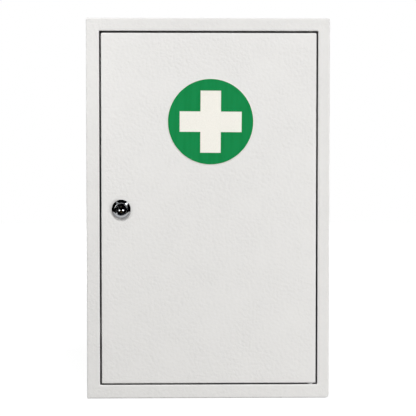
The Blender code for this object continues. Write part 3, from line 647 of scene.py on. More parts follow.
def luminous_film():
    """Cream film filled with luminous grains, which show faintly through its gloss."""
    made, tree, shader, where = finish("luminous_film")
    place = where["Object"]
    grains = ranged(tree, grain(tree, place, 1500.0), 0.35, 0.65)
    skin = effect(tree, "skin", {"Vector": place, "Peel": 300.0, "Cloud": 30.0})
    tone = mixed(tree, grains, FILM_DEEP, FILM_GRAIN)
    tone = mixed(tree, times(tree, skin["Cloud"], 0.25), tone, FILM_CLOUD)
    gloss = ranged(tree, skin["Speckle"], 0.0, 1.0, 0.44, 0.54)
    shader.inputs["Specular IOR Level"].default_value = 0.3
    feed(tree, shader, tone, gloss, bumped(tree, skin["Height"], 0.04 * MM))
    return made


def green_print():
    """Screen-printed green ink, a little uneven where the squeegee passed."""
    made, tree, shader, where = finish("green_print")
    place = where["Object"]
    drawn = add(tree, "ShaderNodeMapping", {"Vector": place, "Scale": (1.0, 1.0, 0.08)}).outputs["Vector"]
    passes = ranged(tree, grain(tree, drawn, 240.0), 0.35, 0.65)
    skin = effect(tree, "skin", {"Vector": place, "Peel": 500.0, "Cloud": 34.0})
    tone = mixed(tree, passes, INK_THICK, INK_THIN)
    tone = mixed(tree, times(tree, skin["Speckle"], 0.3), tone, INK_SPECK)
    gloss = ranged(tree, skin["Speckle"], 0.0, 1.0, 0.52, 0.62)
    shader.inputs["Specular IOR Level"].default_value = 0.06
    feed(tree, shader, tone, gloss, bumped(tree, skin["Height"], 0.04 * MM))
    return made


casing_coat = powder_coat("casing_coat", casing_marks=True)
coat = powder_coat("coat", casing_marks=False)
chrome_plate = chrome()
zinc_plate = metal("zinc_plate", (0.60, 0.60, 0.575), 0.34, 130.0, 420.0, 0.01 * MM)
spring_steel = metal("spring_steel", (0.50, 0.50, 0.51), 0.26, 300.0, 900.0, 0.004 * MM)
oiled_brass = metal("oiled_brass", (0.12, 0.088, 0.045), 0.28, 240.0, 700.0, 0.006 * MM)
nylon = moulded("nylon", (0.95, 0.95, 0.94), (0.91, 0.91, 0.90), 0.42, 900.0, 0.03 * MM)
rubber = moulded("rubber", (0.030, 0.030, 0.031), (0.016, 0.016, 0.017), 0.72, 1400.0, 0.05 * MM)
film = luminous_film()
green = green_print()


# Outlines and skins


def arc(radius, start, end, steps, centre=(0.0, 0.0)):
    """Points on an arc from one angle to another, in degrees."""
    angles = [radians(start + (end - start) * step / steps) for step in range(steps + 1)]
    return [(centre[0] + radius * cos(a), centre[1] + radius * sin(a)) for a in angles]


def circle(radius, steps, centre=(0.0, 0.0)):
    return arc(radius, 0, 360 - 360 / steps, steps - 1, centre)


def box_outline(left, right, bottom, top):
    return [(left, bottom), (right, bottom), (right, top), (left, top)]


def between(first, last, share):
    return tuple(a + (b - a) * share for a, b in zip(first, last))


def ring(edges, radii, corner_steps, splits):
    """A rectangle with four rounded corners, anticlockwise, its straight sides split evenly."""
    signs = ((1, 1), (-1, 1), (-1, -1), (1, -1))
    arcs = []
    for index, ((x, y), (sx, sy), radius) in enumerate(zip(box_outline(*edges), signs, radii)):
        start = 180 + 90 * index
        arcs.append(arc(radius, start, start + 90, corner_steps, (x + sx * radius, y + sy * radius)))
    points = []
    for index, corner in enumerate(arcs):
        count = splits[index % 2]
        after = arcs[(index + 1) % 4][0]
        points += corner + [between(corner[-1], after, step / count) for step in range(1, count)]
    return points


def fold_path(radius, reach):
    """How far in and how far back a square fold runs, from the flange round to the face.

    The radius is the fold's outer one, and the reach is that of the side that is followed.
    """
    angles = [pi / 2 * step / FOLD_STEPS for step in range(FOLD_STEPS + 1)]
    return [(radius - reach * cos(a), -radius + reach * sin(a)) for a in angles]


def fold_rub_and_highlight(step):
    """How worn a fold is at one of its steps, which also paints its highlight: most at its middle."""
    return sin(pi * step / FOLD_STEPS) ** 0.5 if 0 < step < FOLD_STEPS else FOLD_END_RUB_AND_HIGHLIGHT


def gap_shade_fade(step):
    """How much painted shade a fold takes, by its steps from the gap's side: most next to the gap."""
    return max(0.0, 1 - step / GAP_SHADE_STEPS)


def smooth(value):
    value = max(0.0, min(1.0, value))
    return value * value * (3 - 2 * value)


def new_mesh():
    """A bmesh that carries how folded, how welded and how darkly painted with gap shade each point is."""
    bm = bmesh.new()
    for name in ("fold", "seam", "recess"):
        bm.verts.layers.float.new(name)
    return bm


def add_ring(bm, points, place, height, fold=0.0, recess=0.0):
    fold_layer = bm.verts.layers.float["fold"]
    recess_layer = bm.verts.layers.float["recess"]
    loop = [bm.verts.new(place(u, v, height)) for u, v in points]
    for vert in loop:
        vert[fold_layer] = fold
        vert[recess_layer] = recess
    return loop


def join_rings(bm, loops, closed=False):
    pairs = list(zip(loops, loops[1:]))
    if closed:
        pairs.append((loops[-1], loops[0]))
    for first, second in pairs:
        for index in range(len(first)):
            after = (index + 1) % len(first)
            bm.faces.new((first[index], first[after], second[after], second[index]))


def inside(point, outline):
    x, y = point
    found = False
    for (x1, y1), (x2, y2) in zip(outline, outline[1:] + outline[:1]):
        if (y1 > y) != (y2 > y) and x < (x2 - x1) * (y - y1) / (y2 - y1) + x1:
            found = not found
    return found


def filled(outline, holes, pitch):
    """Points and triangles over an outline with holes, with a grid of the pitch inside it."""
    rim, edges = [], []
    for path in (outline, *holes):
        start, count = len(rim), len(path)
        rim += [Vector(point) for point in path]
        edges += [(start + i, start + (i + 1) % count) for i in range(count)]
    left, right = min(p.x for p in rim), max(p.x for p in rim)
    bottom, top = min(p.y for p in rim), max(p.y for p in rim)
    columns = max(2, round((right - left) / pitch))
    rows = max(2, round((top - bottom) / pitch))
    margin = 3 * pitch
    inner = [p for p in rim if left + margin < p.x < right - margin]
    inner = [p for p in inner if bottom + margin < p.y < top - margin]
    points = list(rim)
    for column in range(1, columns):
        for row in range(1, rows):
            shift = 0.25 if row % 2 else -0.25
            x = left + (right - left) * (column + shift) / columns
            y = bottom + (top - bottom) * row / rows
            if holes and inner and min((p - Vector((x, y))).length for p in inner) < 0.45 * pitch:
                continue
            if inside((x, y), outline) and not any(inside((x, y), hole) for hole in holes):
                points.append(Vector((x, y)))
    made, _, faces, _, _, _ = delaunay_2d_cdt(points, edges, [], 1, 1e-7)
    kept = []
    for face in faces:
        middle = sum((made[i] for i in face), Vector((0, 0))) / len(face)
        if not any(inside(middle, hole) for hole in holes):
            kept.append(face)
    return made, kept


def add_cap(bm, cap, place, height, lift=None):
    points, faces = cap
    verts = [bm.verts.new(place(p.x, p.y, height + (lift(p.x, p.y) if lift else 0.0))) for p in points]
    for face in faces:
        bm.faces.new([verts[i] for i in face])


def placed(name, data):
    """A new object in the scene."""
    made = bpy.data.objects.new(name, data)
    bpy.context.scene.collection.objects.link(made)
    return made


def shade(mesh, sharp):
    mesh.shade_smooth()
    mesh.set_sharp_from_angle(angle=radians(sharp))


def to_object(name, bm, merge=MERGE, sharp=SHARP_ANGLE):
    """A piece from a bmesh, closed up, with its faces pointing out."""
    bmesh.ops.remove_doubles(bm, verts=bm.verts, dist=merge)
    loose = [vert for vert in bm.verts if not vert.link_faces]
    bmesh.ops.delete(bm, geom=loose, context="VERTS")
    bmesh.ops.recalc_face_normals(bm, faces=bm.faces)
    mesh = bpy.data.meshes.new(name)
    bm.to_mesh(mesh)
    bm.free()
    shade(mesh, sharp)
    return placed(name, mesh)


def evaluated_mesh(obj):
    """The plain mesh that an object's modifiers make."""
    bpy.context.view_layer.update()
    graph = bpy.context.evaluated_depsgraph_get()
    return bpy.data.meshes.new_from_object(obj.evaluated_get(graph))


def combine(obj, operation, *others):
    """Takes other solids out of an object, or joins them to it."""
    for other in others:
        modifier = obj.modifiers.new("combine", "BOOLEAN")
        modifier.operation = operation
        modifier.solver = "EXACT"
        modifier.object = other
    mesh = evaluated_mesh(obj)
    obj.modifiers.clear()
    old = obj.data
    obj.data = mesh
    bpy.data.meshes.remove(old)
    shade(mesh, SHARP_ANGLE)
    for other in others:
        bpy.data.objects.remove(other, do_unlink=True)


def dressed(obj, material, body, slot, *nodes):
    """Gives a piece its finish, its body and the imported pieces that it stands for."""
    obj.data.materials.clear()
    obj.data.materials.append(material)
    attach(obj, body)
    if nodes:
        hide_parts(*nodes)


# Where a flat outline and a height above its face lie in the cabinet


def on_front(u, v, height):
    return Vector((u, FRONT - height, v))


def on_back(u, v, height):
    return Vector((u, height, v))


def on_shelf(top):
    return lambda u, v, height: Vector((u, v, top + height))


def on_lock(u, v, height):
    return Vector((LOCK.x + u, FRONT - height, LOCK.z + v))


def on_hinge(u, v, height):
    return Vector((HINGE.x + u, HINGE.y + v, height))


# Solids


def prism(name, outline, place, low, high):
    bm = new_mesh()
    loops = [add_ring(bm, outline, place, height) for height in (low, high)]
    join_rings(bm, loops)
    bm.faces.new(loops[0])
    bm.faces.new(loops[1])
    return to_object(name, bm)


def drill(name, radius, place, low, high):
    return prism(name, circle(radius, 48), place, low, high)


def turned(name, profile, place, closed, steps=128):
    """A profile of (radius, height) spun round the lock's axis."""
    bm = new_mesh()
    loops = []
    for radius, height in profile:
        if radius < 1e-7:
            loops.append(bm.verts.new(place(0, 0, height)))
        else:
            loops.append(add_ring(bm, circle(radius, steps), place, height))
    pairs = list(zip(loops, loops[1:]))
    if closed:
        pairs.append((loops[-1], loops[0]))
    for first, second in pairs:
        if isinstance(first, list) and isinstance(second, list):
            join_rings(bm, [first, second])
            continue
        pole, rim = (first, second) if isinstance(second, list) else (second, first)
        for index in range(len(rim)):
            bm.faces.new((pole, rim[index], rim[(index + 1) % len(rim)]))
    return to_object(name, bm, sharp=TURNED_SHARP_ANGLE)


# Folded sheets


def build_pan(name, place, edges, depth, sheet, fold, corners, pitch, holes=(), lift=None, gap_shade=0.0):
    """A sheet with its face at height 0 and a flange folded back along each edge.

    Gap shade is how much painted shade darkens the flange's outside, which faces a gap; it fades out round
    the fold.
    """
    left, right, bottom, top = edges
    splits = (max(2, round((right - left) / pitch)), max(2, round((top - bottom) / pitch)))

    def inset(amount):
        radii = [max(corner - amount, SMALLEST_CORNER) for corner in corners]
        shrunk = (left + amount, right - amount, bottom + amount, top - amount)
        return ring(shrunk, radii, PAN_CORNER_STEPS, splits)

    bm = new_mesh()
    straight = depth - fold
    rises = max(2, round(straight / pitch))
    edge, *heights = [-depth + straight * step / rises for step in range(rises)]
    loops = [add_ring(bm, inset(0), place, edge, EDGE_RUB_AND_HIGHLIGHT, gap_shade)]
    loops += [add_ring(bm, inset(0), place, height, 0.0, gap_shade) for height in heights]
    for step, (amount, height) in enumerate(fold_path(fold, fold)):
        loops.append(add_ring(bm, inset(amount), place, height, fold_rub_and_highlight(step), gap_shade * gap_shade_fade(step)))
    join_rings(bm, loops)
    loops = [add_ring(bm, inset(0), place, edge, EDGE_RUB_AND_HIGHLIGHT, gap_shade)]
    loops.append(add_ring(bm, inset(sheet), place, edge, EDGE_RUB_AND_HIGHLIGHT))
    loops += [add_ring(bm, inset(sheet), place, height) for height in heights]
    inner = fold_path(fold, fold - sheet)
    loops += [add_ring(bm, inset(amount), place, height) for amount, height in inner]
    join_rings(bm, loops)
    cap = filled(inset(fold), holes, pitch)
    add_cap(bm, cap, place, 0.0, lift)
    add_cap(bm, cap, place, -sheet, lift)
    for hole in holes:
        join_rings(bm, [add_ring(bm, hole, place, height, HOLE_RUB_AND_HIGHLIGHT) for height in (0.0, -sheet)])
    return to_object(name, bm)


def sagging(edges, holes, depth, size, seed):
    """How far a flat sheet stands below its plane: nowhere at its folds and holes."""
    left, right, bottom, top = edges

    def lift(u, v):
        rim = min(u - left, right - u, v - bottom, top - v)
        near = smooth((rim - STIFF_RIM) / RIM_REACH)
        for x, y, radius in holes:
            near *= smooth((hypot(u - x, v - y) - radius) / HOLE_REACH)
        wave = noise.noise(Vector((u / size, v / size, seed)))
        wave += 0.5 * noise.noise(Vector((2.1 * u / size, 2.1 * v / size, seed + 7)))
        return -depth * near * (0.5 + 0.5 * max(-1.0, min(1.0, 1.3 * wave)))

    return lift


def bow_walls(bm):
    """Sinks the casing's four walls a little, away from their folds and corners."""
    for vert in bm.verts:
        spot = tuple(vert.co)
        y = spot[1]
        rim = min(y - FRONT - STIFF_RIM, -y - WALL_STIFF_BACK)
        for axis, other_axis in ((0, 2), (2, 0)):
            value, other = spot[axis], spot[other_axis]
            if abs(value) < casing_high[axis] - 1.5 * CASING_SHEET or rim <= 0:
                continue
            to_corner = casing_high[other_axis] - abs(other) - WALL_STIFF_CORNER
            near = smooth(to_corner / WALL_CORNER_REACH)
            near *= smooth(rim / WALL_DEPTH_REACH)
            side = 1 if value > 0 else -1
            wave = noise.noise(Vector((other / WALL_WAVE, y / WALL_WAVE, axis + 4 - side)))
            vert.co[axis] -= side * WALL_SAG * near * (0.5 + 0.5 * wave)


def build_casing():
    """Walls, front frame and lip in one folded sheet, whose big walls are never quite flat."""
    wide, tall = casing_high.x - casing_low.x, casing_high.z - casing_low.z
    splits = (round(wide / CASING_PITCH), round(tall / CASING_PITCH))

    def frame_ring(share, amount):
        """Share 0 is the casing's outside, and share 1 is the opening's edge."""
        left, right, bottom, top = (share * border + amount for border in FRAME_BORDERS)
        base = [OPENING_CORNER] * 4 if share else CASING_CORNERS
        radii = [max(corner - amount, SMALLEST_CORNER) for corner in base]
        edges = (casing_low.x + left, casing_high.x - right, casing_low.z + bottom, casing_high.z - top)
        return ring(edges, radii, CASING_CORNER_STEPS, splits)

    bm = new_mesh()
    seam = bm.verts.layers.float["seam"]
    starts = [0]
    for index in range(3):
        starts.append(starts[-1] + CASING_CORNER_STEPS + splits[index % 2])
    mitred = [start + step for start in starts for step in range(CASING_CORNER_STEPS + 1)]
    loops = []

    def run(points, height, fold=0.0, welded=0.0, recess=0.0):
        loop = add_ring(bm, points, on_front, height, fold, recess)
        for index in mitred:
            loop[index][seam] = welded
        loops.append(loop)

    def run_straight(points, heights, cut_edge, recess=0.0):
        for height in heights:
            run(points, height, EDGE_RUB_AND_HIGHLIGHT if height == cut_edge else 0.0, 0.0, recess)

    depth = -FRONT
    rows = round((depth - CASING_FOLD) / CASING_PITCH)
    walls = [-depth + (depth - CASING_FOLD) * row / rows for row in range(rows)]
    lip = [-CASING_FOLD - (FRAME_LIP - CASING_FOLD) * row / LIP_ROWS for row in range(1, LIP_ROWS + 1)]
    outer = fold_path(CASING_FOLD, CASING_FOLD)
    inner = fold_path(CASING_FOLD, CASING_FOLD - CASING_SHEET)
    across = list(zip(frame_ring(0, CASING_FOLD), frame_ring(1, -CASING_FOLD)))
    face = [[between(a, b, step / FACE_STEPS) for a, b in across] for step in range(1, FACE_STEPS)]

    run_straight(frame_ring(0, 0), walls, walls[0])
    for step, (amount, height) in enumerate(outer):
        run(frame_ring(0, amount), height, fold_rub_and_highlight(step), FOLD_SEAM)
    for points in face:
        run(points, 0.0, welded=1.0)
    # The opening's fold and the lip's outside face the gap, and carry painted shade
    for step, (amount, height) in enumerate(reversed(outer)):
        run(frame_ring(1, -amount), height, fold_rub_and_highlight(step), FOLD_SEAM, gap_shade_fade(FOLD_STEPS - step))
    run_straight(frame_ring(1, 0), lip, lip[-1], recess=1.0)
    run_straight(frame_ring(1, -CASING_SHEET), lip[::-1], lip[-1])
    for amount, height in inner:
        run(frame_ring(1, -amount), height)
    for points in reversed(face):
        run(points, -CASING_SHEET)
    for amount, height in reversed(inner):
        run(frame_ring(0, amount), height)
    run_straight(frame_ring(0, CASING_SHEET), walls[::-1], walls[0])
    join_rings(bm, loops, closed=True)

    bow_walls(bm)
    casing = to_object("folded_casing", bm)
    drills = []
    for pin, inward in (("lower_pivot_pin", 1), ("upper_pivot_pin", -1)):
        low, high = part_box(pin)
        end = low.z if inward > 0 else high.z
        start, stop = (end + inward * far for far in PIN_DRILL)
        drills.append(drill("lip_drill", PIN_HOLE, on_hinge, start, stop))
    combine(casing, "DIFFERENCE", *drills)
    dressed(casing, casing_coat, CASING, "powder_coat", "casing")


def build_door():
    """The door's pan, with a hole that has two flats for the lock and two for the pivot pins."""
    edges = (door_low.x, door_high.x, door_low.z, door_high.z)
    lift = sagging(edges, [(LOCK.x, LOCK.z, STIFF_SPOT)], depth=0.14 * MM, size=85 * MM, seed=2.0)
    radius, flat = BARREL_RADIUS + BARREL_ROOM, BARREL_FLAT + BARREL_ROOM
    angle = degrees(atan2(sqrt(radius**2 - flat**2), flat))
    hole = arc(radius, angle, 180 - angle, 24) + arc(radius, 180 + angle, 360 - angle, 24)
    # The flange's outside faces the gap and carries full painted shade
    door = build_pan(
        "door_pan",
        on_front,
        edges,
        DOOR_FLANGE,
        DOOR_SHEET,
        DOOR_FOLD,
        (DOOR_CORNER,) * 4,
        DOOR_PITCH,
        [[(LOCK.x + u, LOCK.z + v) for u, v in hole]],
        lift,
        gap_shade=1.0,
    )
    drills = []
    for edge, inward in ((door_low.z, 1), (door_high.z, -1)):
        low, high = sorted(edge + inward * far for far in DOOR_DRILL)
        drills.append(drill("flange_drill", PIN_HOLE, on_hinge, low, high))
    combine(door, "DIFFERENCE", *drills)
    dressed(door, coat, DOOR, "powder_coat", "door_panel")


def keyhole(x, z):
    """A keyhole: a screw head goes in at the round end, and its shank slides up the neck."""
    meet = sqrt(HANGER_HEAD**2 - HANGER_NECK**2)
    edge = degrees(atan2(meet, HANGER_NECK))
    head = arc(HANGER_HEAD, 180 - edge, 360 + edge, 32, (x, z))
    return head + arc(HANGER_NECK, 0, 180, 16, (x, z + HANGER_RISE))


def build_back_panel():
    edges = (back_low.x, back_high.x, back_low.z, back_high.z)
    seat = CASING_SHEET + BACK_GAP
    corners = [max(corner - seat, BACK_FOLD) for corner in CASING_CORNERS]
    spots = [(x, z + HANGER_RISE / 2, STIFF_SPOT) for x, z in HANGER_PLACES]
    panel = build_pan(
        "hanging_panel",
        on_back,
        edges,
        BACK_FLANGE,
        BACK_SHEET,
        BACK_FOLD,
        corners,
        PANEL_PITCH,
        [keyhole(x, z) for x, z in HANGER_PLACES],
        sagging(edges, spots, depth=0.25 * MM, size=100 * MM, seed=11.0),
    )
    dressed(panel, coat, CASING, "powder_coat", "back_panel")


def build_shelves():
    for number in (1, 2):
        low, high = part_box(f"shelf_{number}")
        edges = (low.x, high.x, low.y, high.y)
        shelf = build_pan(
            f"shelf_tray_{number}",
            on_shelf(high.z),
            edges,
            SHELF_FLANGE,
            SHELF_SHEET,
            SHELF_FOLD,
            (SHELF_CORNER,) * 4,
            PANEL_PITCH,
            lift=sagging(edges, [], depth=0.18 * MM, size=70 * MM, seed=20.0 + number),
        )
        dressed(shelf, coat, CASING, "powder_coat", f"shelf_{number}")


# Sign


def build_sheet(name, outline, holes, low, high, edge):
    """A flat cut sheet on the front, whose upper edge is broken by the given width."""
    bm = new_mesh()
    middle = Vector([sum(values) / len(outline) for values in zip(*outline)])
    top = []
    for point in outline:
        away = Vector(point) - middle
        top.append(tuple(middle + away * (1 - edge / away.length)))
    rims = [add_ring(bm, outline, on_front, height) for height in (low, high - edge)]
    join_rings(bm, [*rims, add_ring(bm, top, on_front, high)])
    add_cap(bm, filled(outline, holes, SIGN_PITCH), on_front, low)
    add_cap(bm, filled(top, holes, SIGN_PITCH), on_front, high)
    for hole in holes:
        join_rings(bm, [add_ring(bm, hole, on_front, low), add_ring(bm, hole, on_front, high)])
    return to_object(name, bm)


def build_sign():
    """The luminous film, and the green ink on it that leaves the cross bare."""
    film_low, film_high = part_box("sign_film")
    middle = ((film_low.x + film_high.x) / 2, (film_low.z + film_high.z) / 2)
    disc = circle((film_high.x - film_low.x) / 2, DISC_STEPS, middle)
    top = SIGN_LIFT + FILM_THICKNESS
    sheet = build_sheet("sign_disc", disc, [], SIGN_LIFT, top, 0.08 * MM)
    dressed(sheet, film, DOOR, "luminous_film", "sign_film")

    print_low, print_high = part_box("sign_print")
    disc = circle((print_high.x - print_low.x) / 2, DISC_STEPS, middle)
    arm, reach = CROSS_ARM / 2, CROSS_LENGTH / 2
    corners = [(arm, arm), (arm, reach), (-arm, reach), (-arm, arm), (-reach, arm), (-reach, -arm)]
    corners += [(-x, -y) for x, y in corners]
    across, up = cos(radians(SIGN_LEAN)), sin(radians(SIGN_LEAN))
    cross = []
    for first, last in zip(corners, corners[1:] + corners[:1]):
        for step in range(CROSS_STEPS):
            x, y = between(first, last, step / CROSS_STEPS)
            cross.append((middle[0] + x * across - y * up, middle[1] + x * up + y * across))
    low = top + SIGN_LIFT
    sheet = build_sheet("sign_ink", disc, [cross], low, low + PRINT_THICKNESS, 0.04 * MM)
    dressed(sheet, green, DOOR, "green_print", "sign_print")


# Lock


def head_profile():
    """The barrel's core, the head's wall, its dome, the bevel inside it and the recess."""
    core = BARREL_RADIUS - THREAD_RIDGE
    ease, chamfer, foot, ledge = 0.2 * MM, 0.5 * MM, 0.1 * MM, 0.05 * MM
    outer, tilt = radians(DOME_OUTER), radians(DOME_INNER)
    crest_up = HEAD_TOP - LIP_RADIUS * (1 - cos(tilt))
    centre_r = HEAD_RADIUS - SHOULDER_RADIUS * (1 - sin(outer)) - DOME_RADIUS * sin(outer)
    centre_up = crest_up - DOME_RADIUS * cos(tilt)
    dome = arc(DOME_RADIUS, 90 - DOME_OUTER, 90 - DOME_INNER, 20, (centre_r, centre_up))
    shoulder_centre = (HEAD_RADIUS - SHOULDER_RADIUS, dome[0][1] - SHOULDER_RADIUS * cos(outer))
    shoulder = arc(SHOULDER_RADIUS, 0, 90 - DOME_OUTER, 6, shoulder_centre)[:-1]
    lip_centre = (dome[-1][0] - LIP_RADIUS * sin(tilt), crest_up - LIP_RADIUS * cos(tilt))
    lip = arc(LIP_RADIUS, 90 - DOME_INNER, 90 + BEVEL_ANGLE, 8, lip_centre)[1:]
    run = lip[-1][0] - RECESS_RADIUS - ledge
    bevel_end = (RECESS_RADIUS + ledge, lip[-1][1] - run * tan(radians(BEVEL_ANGLE)))
    floor = PLUG_COLLAR - 0.3 * MM
    return [
        (BORE_RADIUS, BARREL_END + ease),
        (BORE_RADIUS + ease, BARREL_END),
        (core - chamfer, BARREL_END),
        (core, BARREL_END + chamfer),
        (core, -DOOR_SHEET - ease),
        (BARREL_RADIUS, -DOOR_SHEET),
        (BARREL_RADIUS, HEAD_FLOOR),
        (HEAD_RADIUS - HEAD_EDGE, HEAD_FLOOR),
        (HEAD_RADIUS - foot, HEAD_FLOOR + foot),
        (HEAD_RADIUS, HEAD_FLOOR + HEAD_EDGE),
        *shoulder,
        *dome,
        *lip,
        bevel_end,
        (RECESS_RADIUS, bevel_end[1] - foot),
        (RECESS_RADIUS, floor + ease),
        (RECESS_RADIUS - ease, floor),
        (BORE_RADIUS, floor),
    ]


def build_housing():
    """The lock's head and barrel, with two flats and a notch that stops the turn."""
    housing = turned("lock_head", head_profile(), on_lock, closed=True)
    far = 2 * BARREL_RADIUS
    below = 2 * BARREL_END
    notch = [(0.0, 0.0)] + arc(far, 180 - STOP_SPARE, 270 + STOP_SPARE, 24)
    combine(
        housing,
        "DIFFERENCE",
        prism("right_flat", box_outline(BARREL_FLAT, far, -far, far), on_lock, below, HEAD_FLOOR),
        prism("left_flat", box_outline(-far, -BARREL_FLAT, -far, far), on_lock, below, HEAD_FLOOR),
        prism("stop_notch", notch, on_lock, below, PLUG_SHOULDER),
    )
    dressed(housing, chrome_plate, DOOR, "chrome", "lock_housing")


def keyway_outline():
    """A slot with a ward ridge on each side, which only the right key's grooves pass."""
    half, end = KEYWAY_WIDTH / 2, KEYWAY_HEIGHT / 2
    right = [(half - KEYWAY_CORNER, -end), (half, -end + KEYWAY_CORNER)]
    right += [(half, -WARD_OUTER[0]), (half - WARD_DEPTH, -WARD_INNER[0])]
    right += [(half - WARD_DEPTH, -WARD_INNER[1]), (half, -WARD_OUTER[1])]
    right += [(half, end - KEYWAY_CORNER), (half - KEYWAY_CORNER, end)]
    return right + [(-u, -v) for u, v in right]


def wafer_heights():
    middle = (PLUG_COLLAR + PLUG_SHOULDER) / 2
    return [middle + WAFER_PITCH * ((WAFER_COUNT - 1) / 2 - index) for index in range(WAFER_COUNT)]


def plug_profile():
    """A dished face with a soft rim, the collar and the round core."""
    curve = (DISH_RADIUS**2 + DISH_DEPTH**2) / (2 * DISH_DEPTH)
    centre = PLUG_FACE - DISH_DEPTH + curve
    radii = [DISH_RADIUS * step / DISH_STEPS for step in range(DISH_STEPS + 1)]
    dish = [(radius, centre - sqrt(curve**2 - radius**2)) for radius in radii]
    flat = [(DISH_RADIUS + 0.2 * MM, PLUG_FACE), (PLUG_FACE_RADIUS - 0.5 * MM, PLUG_FACE)]
    rim = arc(PLUG_RIM, 90, 0, 5, (PLUG_FACE_RADIUS - PLUG_RIM, PLUG_FACE - PLUG_RIM))
    collar = [(PLUG_FACE_RADIUS, PLUG_COLLAR), (PLUG_RADIUS, PLUG_COLLAR)]
    return dish + flat + rim + collar + [(PLUG_RADIUS, PLUG_SHOULDER), (0, PLUG_SHOULDER)]


def build_plug():
    """The plug with its dished face, the key's slot, the wafers' slots and its square tail."""
    plug = turned("lock_core", plug_profile(), on_lock, closed=False)
    square = ring((-TAIL_HALF, TAIL_HALF, -TAIL_HALF, TAIL_HALF), [TAIL_CORNER] * 4, 4, (1, 1))
    tail = prism("tail", square, on_lock, PLUG_TAIL_END, PLUG_SHOULDER + TAIL_OVERLAP)
    combine(plug, "UNION", tail)

    end = (PLUG_COLLAR + PLUG_SHOULDER) / 2 - WAFER_PITCH * WAFER_COUNT / 2
    cutters = [prism("keyway", keyway_outline(), on_lock, end, HEAD_TOP)]
    cutters.append(drill("screw_hole", SCREW_HOLE, on_lock, 2 * PLUG_TAIL_END, SCREW_HOLE_END))
    slot_half = WAFER_WIDTH / 2 + WAFER_ROOM
    slot = box_outline(-slot_half, slot_half, -2 * PLUG_RADIUS, 2 * PLUG_RADIUS)
    floor = EAR_UNDER - SPRING_LENGTH - 2 * (WAFER_ROOM + SPRING_WIRE)
    pocket = box_outline(0, WAFER_WIDTH / 2 + WAFER_EAR + WAFER_ROOM, floor, EAR_UNDER + EAR_RISE)
    thin = WAFER_THICKNESS / 2 + SLOT_ROOM
    wide = SPRING_RADIUS + SPRING_WIRE + SLOT_ROOM
    for middle in wafer_heights():
        cutters.append(prism("wafer_slot", slot, on_lock, middle - thin, middle + thin))
        cutters.append(prism("spring_pocket", pocket, on_lock, middle - wide, middle + wide))
    combine(plug, "DIFFERENCE", *cutters)
    dressed(plug, chrome_plate, ROTOR, "chrome", "lock_plug")


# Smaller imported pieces, with their edges eased as tumbled and pressed parts have them


def eased(node, name, width, material, body, slot, segments=2):
    """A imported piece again, with its sharp edges rounded over the given width."""
    mesh = frame["nodes"][node].data.copy()
    bm = bmesh.new()
    bm.from_mesh(mesh)
    bpy.data.meshes.remove(mesh)
    bmesh.ops.remove_doubles(bm, verts=bm.verts, dist=MERGE)
    bmesh.ops.dissolve_limit(bm, angle_limit=radians(1), verts=bm.verts, edges=bm.edges)
    shared = [edge for edge in bm.edges if len(edge.link_faces) == 2]
    sharp = [edge for edge in shared if edge.calc_face_angle(0) > radians(EASED_ANGLE)]
    bmesh.ops.bevel(
        bm,
        geom=sharp,
        offset=width,
        segments=segments,
        profile=0.5,
        affect="EDGES",
        clamp_overlap=True,
    )
    bmesh.ops.triangulate(bm, faces=[face for face in bm.faces if len(face.verts) > 4])
    dressed(to_object(name, bm, merge=1e-8), material, body, slot, node)


def build_small_pieces():
    for end in ("lower", "upper"):
        eased(f"{end}_pivot_pin", f"{end}_pin", 0.25 * MM, zinc_plate, CASING, "zinc_plated_steel")
        eased(f"door_stop_{end}", f"{end}_stop_angle", 0.2 * MM, coat, CASING, "powder_coat")
        eased(f"{end}_pivot_plate", f"{end}_hinge_plate", 0.3 * MM, zinc_plate, DOOR, "zinc_plated_steel")
    eased("pivot_washer", "hinge_washer", 0.15 * MM, nylon, CASING, "nylon")
    eased("lock_nut", "barrel_nut", 0.15 * MM, zinc_plate, DOOR, "zinc_plated_steel")
    eased("lock_stop_washer", "turn_stop", 0.1 * MM, zinc_plate, ROTOR, "zinc_plated_steel")
    eased("lock_cam", "latch_cam", 0.05 * MM, zinc_plate, ROTOR, "zinc_plated_steel")
    eased("cam_washer", "cam_screw_washer", 0.12 * MM, zinc_plate, ROTOR, "zinc_plated_steel")
    eased("cam_screw", "cam_bolt", 0.12 * MM, zinc_plate, ROTOR, "zinc_plated_steel")
    for number in range(1, WAFER_COUNT + 1):
        eased(f"lock_wafer_{number}", f"wafer_{number}", 0.06 * MM, oiled_brass, ROTOR, "brass", 1)


# Geometry Nodes: what repeats or follows a path


def grown(name, tree, host_mesh, values):
    """The plain mesh that a tree makes on a host, as a new object."""
    host = placed(name, host_mesh)
    modifier = host.modifiers.new("grown", "NODES")
    modifier.node_group = tree
    for item in tree.interface.items_tree:
        if item.item_type == "SOCKET" and item.in_out == "INPUT" and item.name in values:
            modifier[item.identifier] = values[item.name]
    mesh = evaluated_mesh(host)
    host.modifiers.clear()
    host.data = mesh
    return host


def bar(tree, path, radius, sides):
    """A bar with closed ends along a path."""
    section = add(tree, "GeometryNodeCurvePrimitiveCircle", {"Resolution": sides, "Radius": radius})
    values = {"Curve": path, "Profile Curve": section.outputs["Curve"], "Fill Caps": True}
    return add(tree, "GeometryNodeCurveToMesh", values).outputs["Mesh"]


def rising_row(tree, piece, count, pitch, start=(0.0, 0.0, 0.0)):
    """Instances of a piece in an upright row."""
    step = add(tree, "ShaderNodeCombineXYZ", {"Z": pitch}).outputs["Vector"]
    values = {"Count": count, "Start Location": start, "Offset": step}
    row = add(tree, "GeometryNodeMeshLine", values, mode="OFFSET").outputs["Mesh"]
    values = {"Points": row, "Instance": piece}
    return add(tree, "GeometryNodeInstanceOnPoints", values).outputs["Instances"]


def realized(tree, instances):
    return add(tree, "GeometryNodeRealizeInstances", {"Geometry": instances}).outputs["Geometry"]


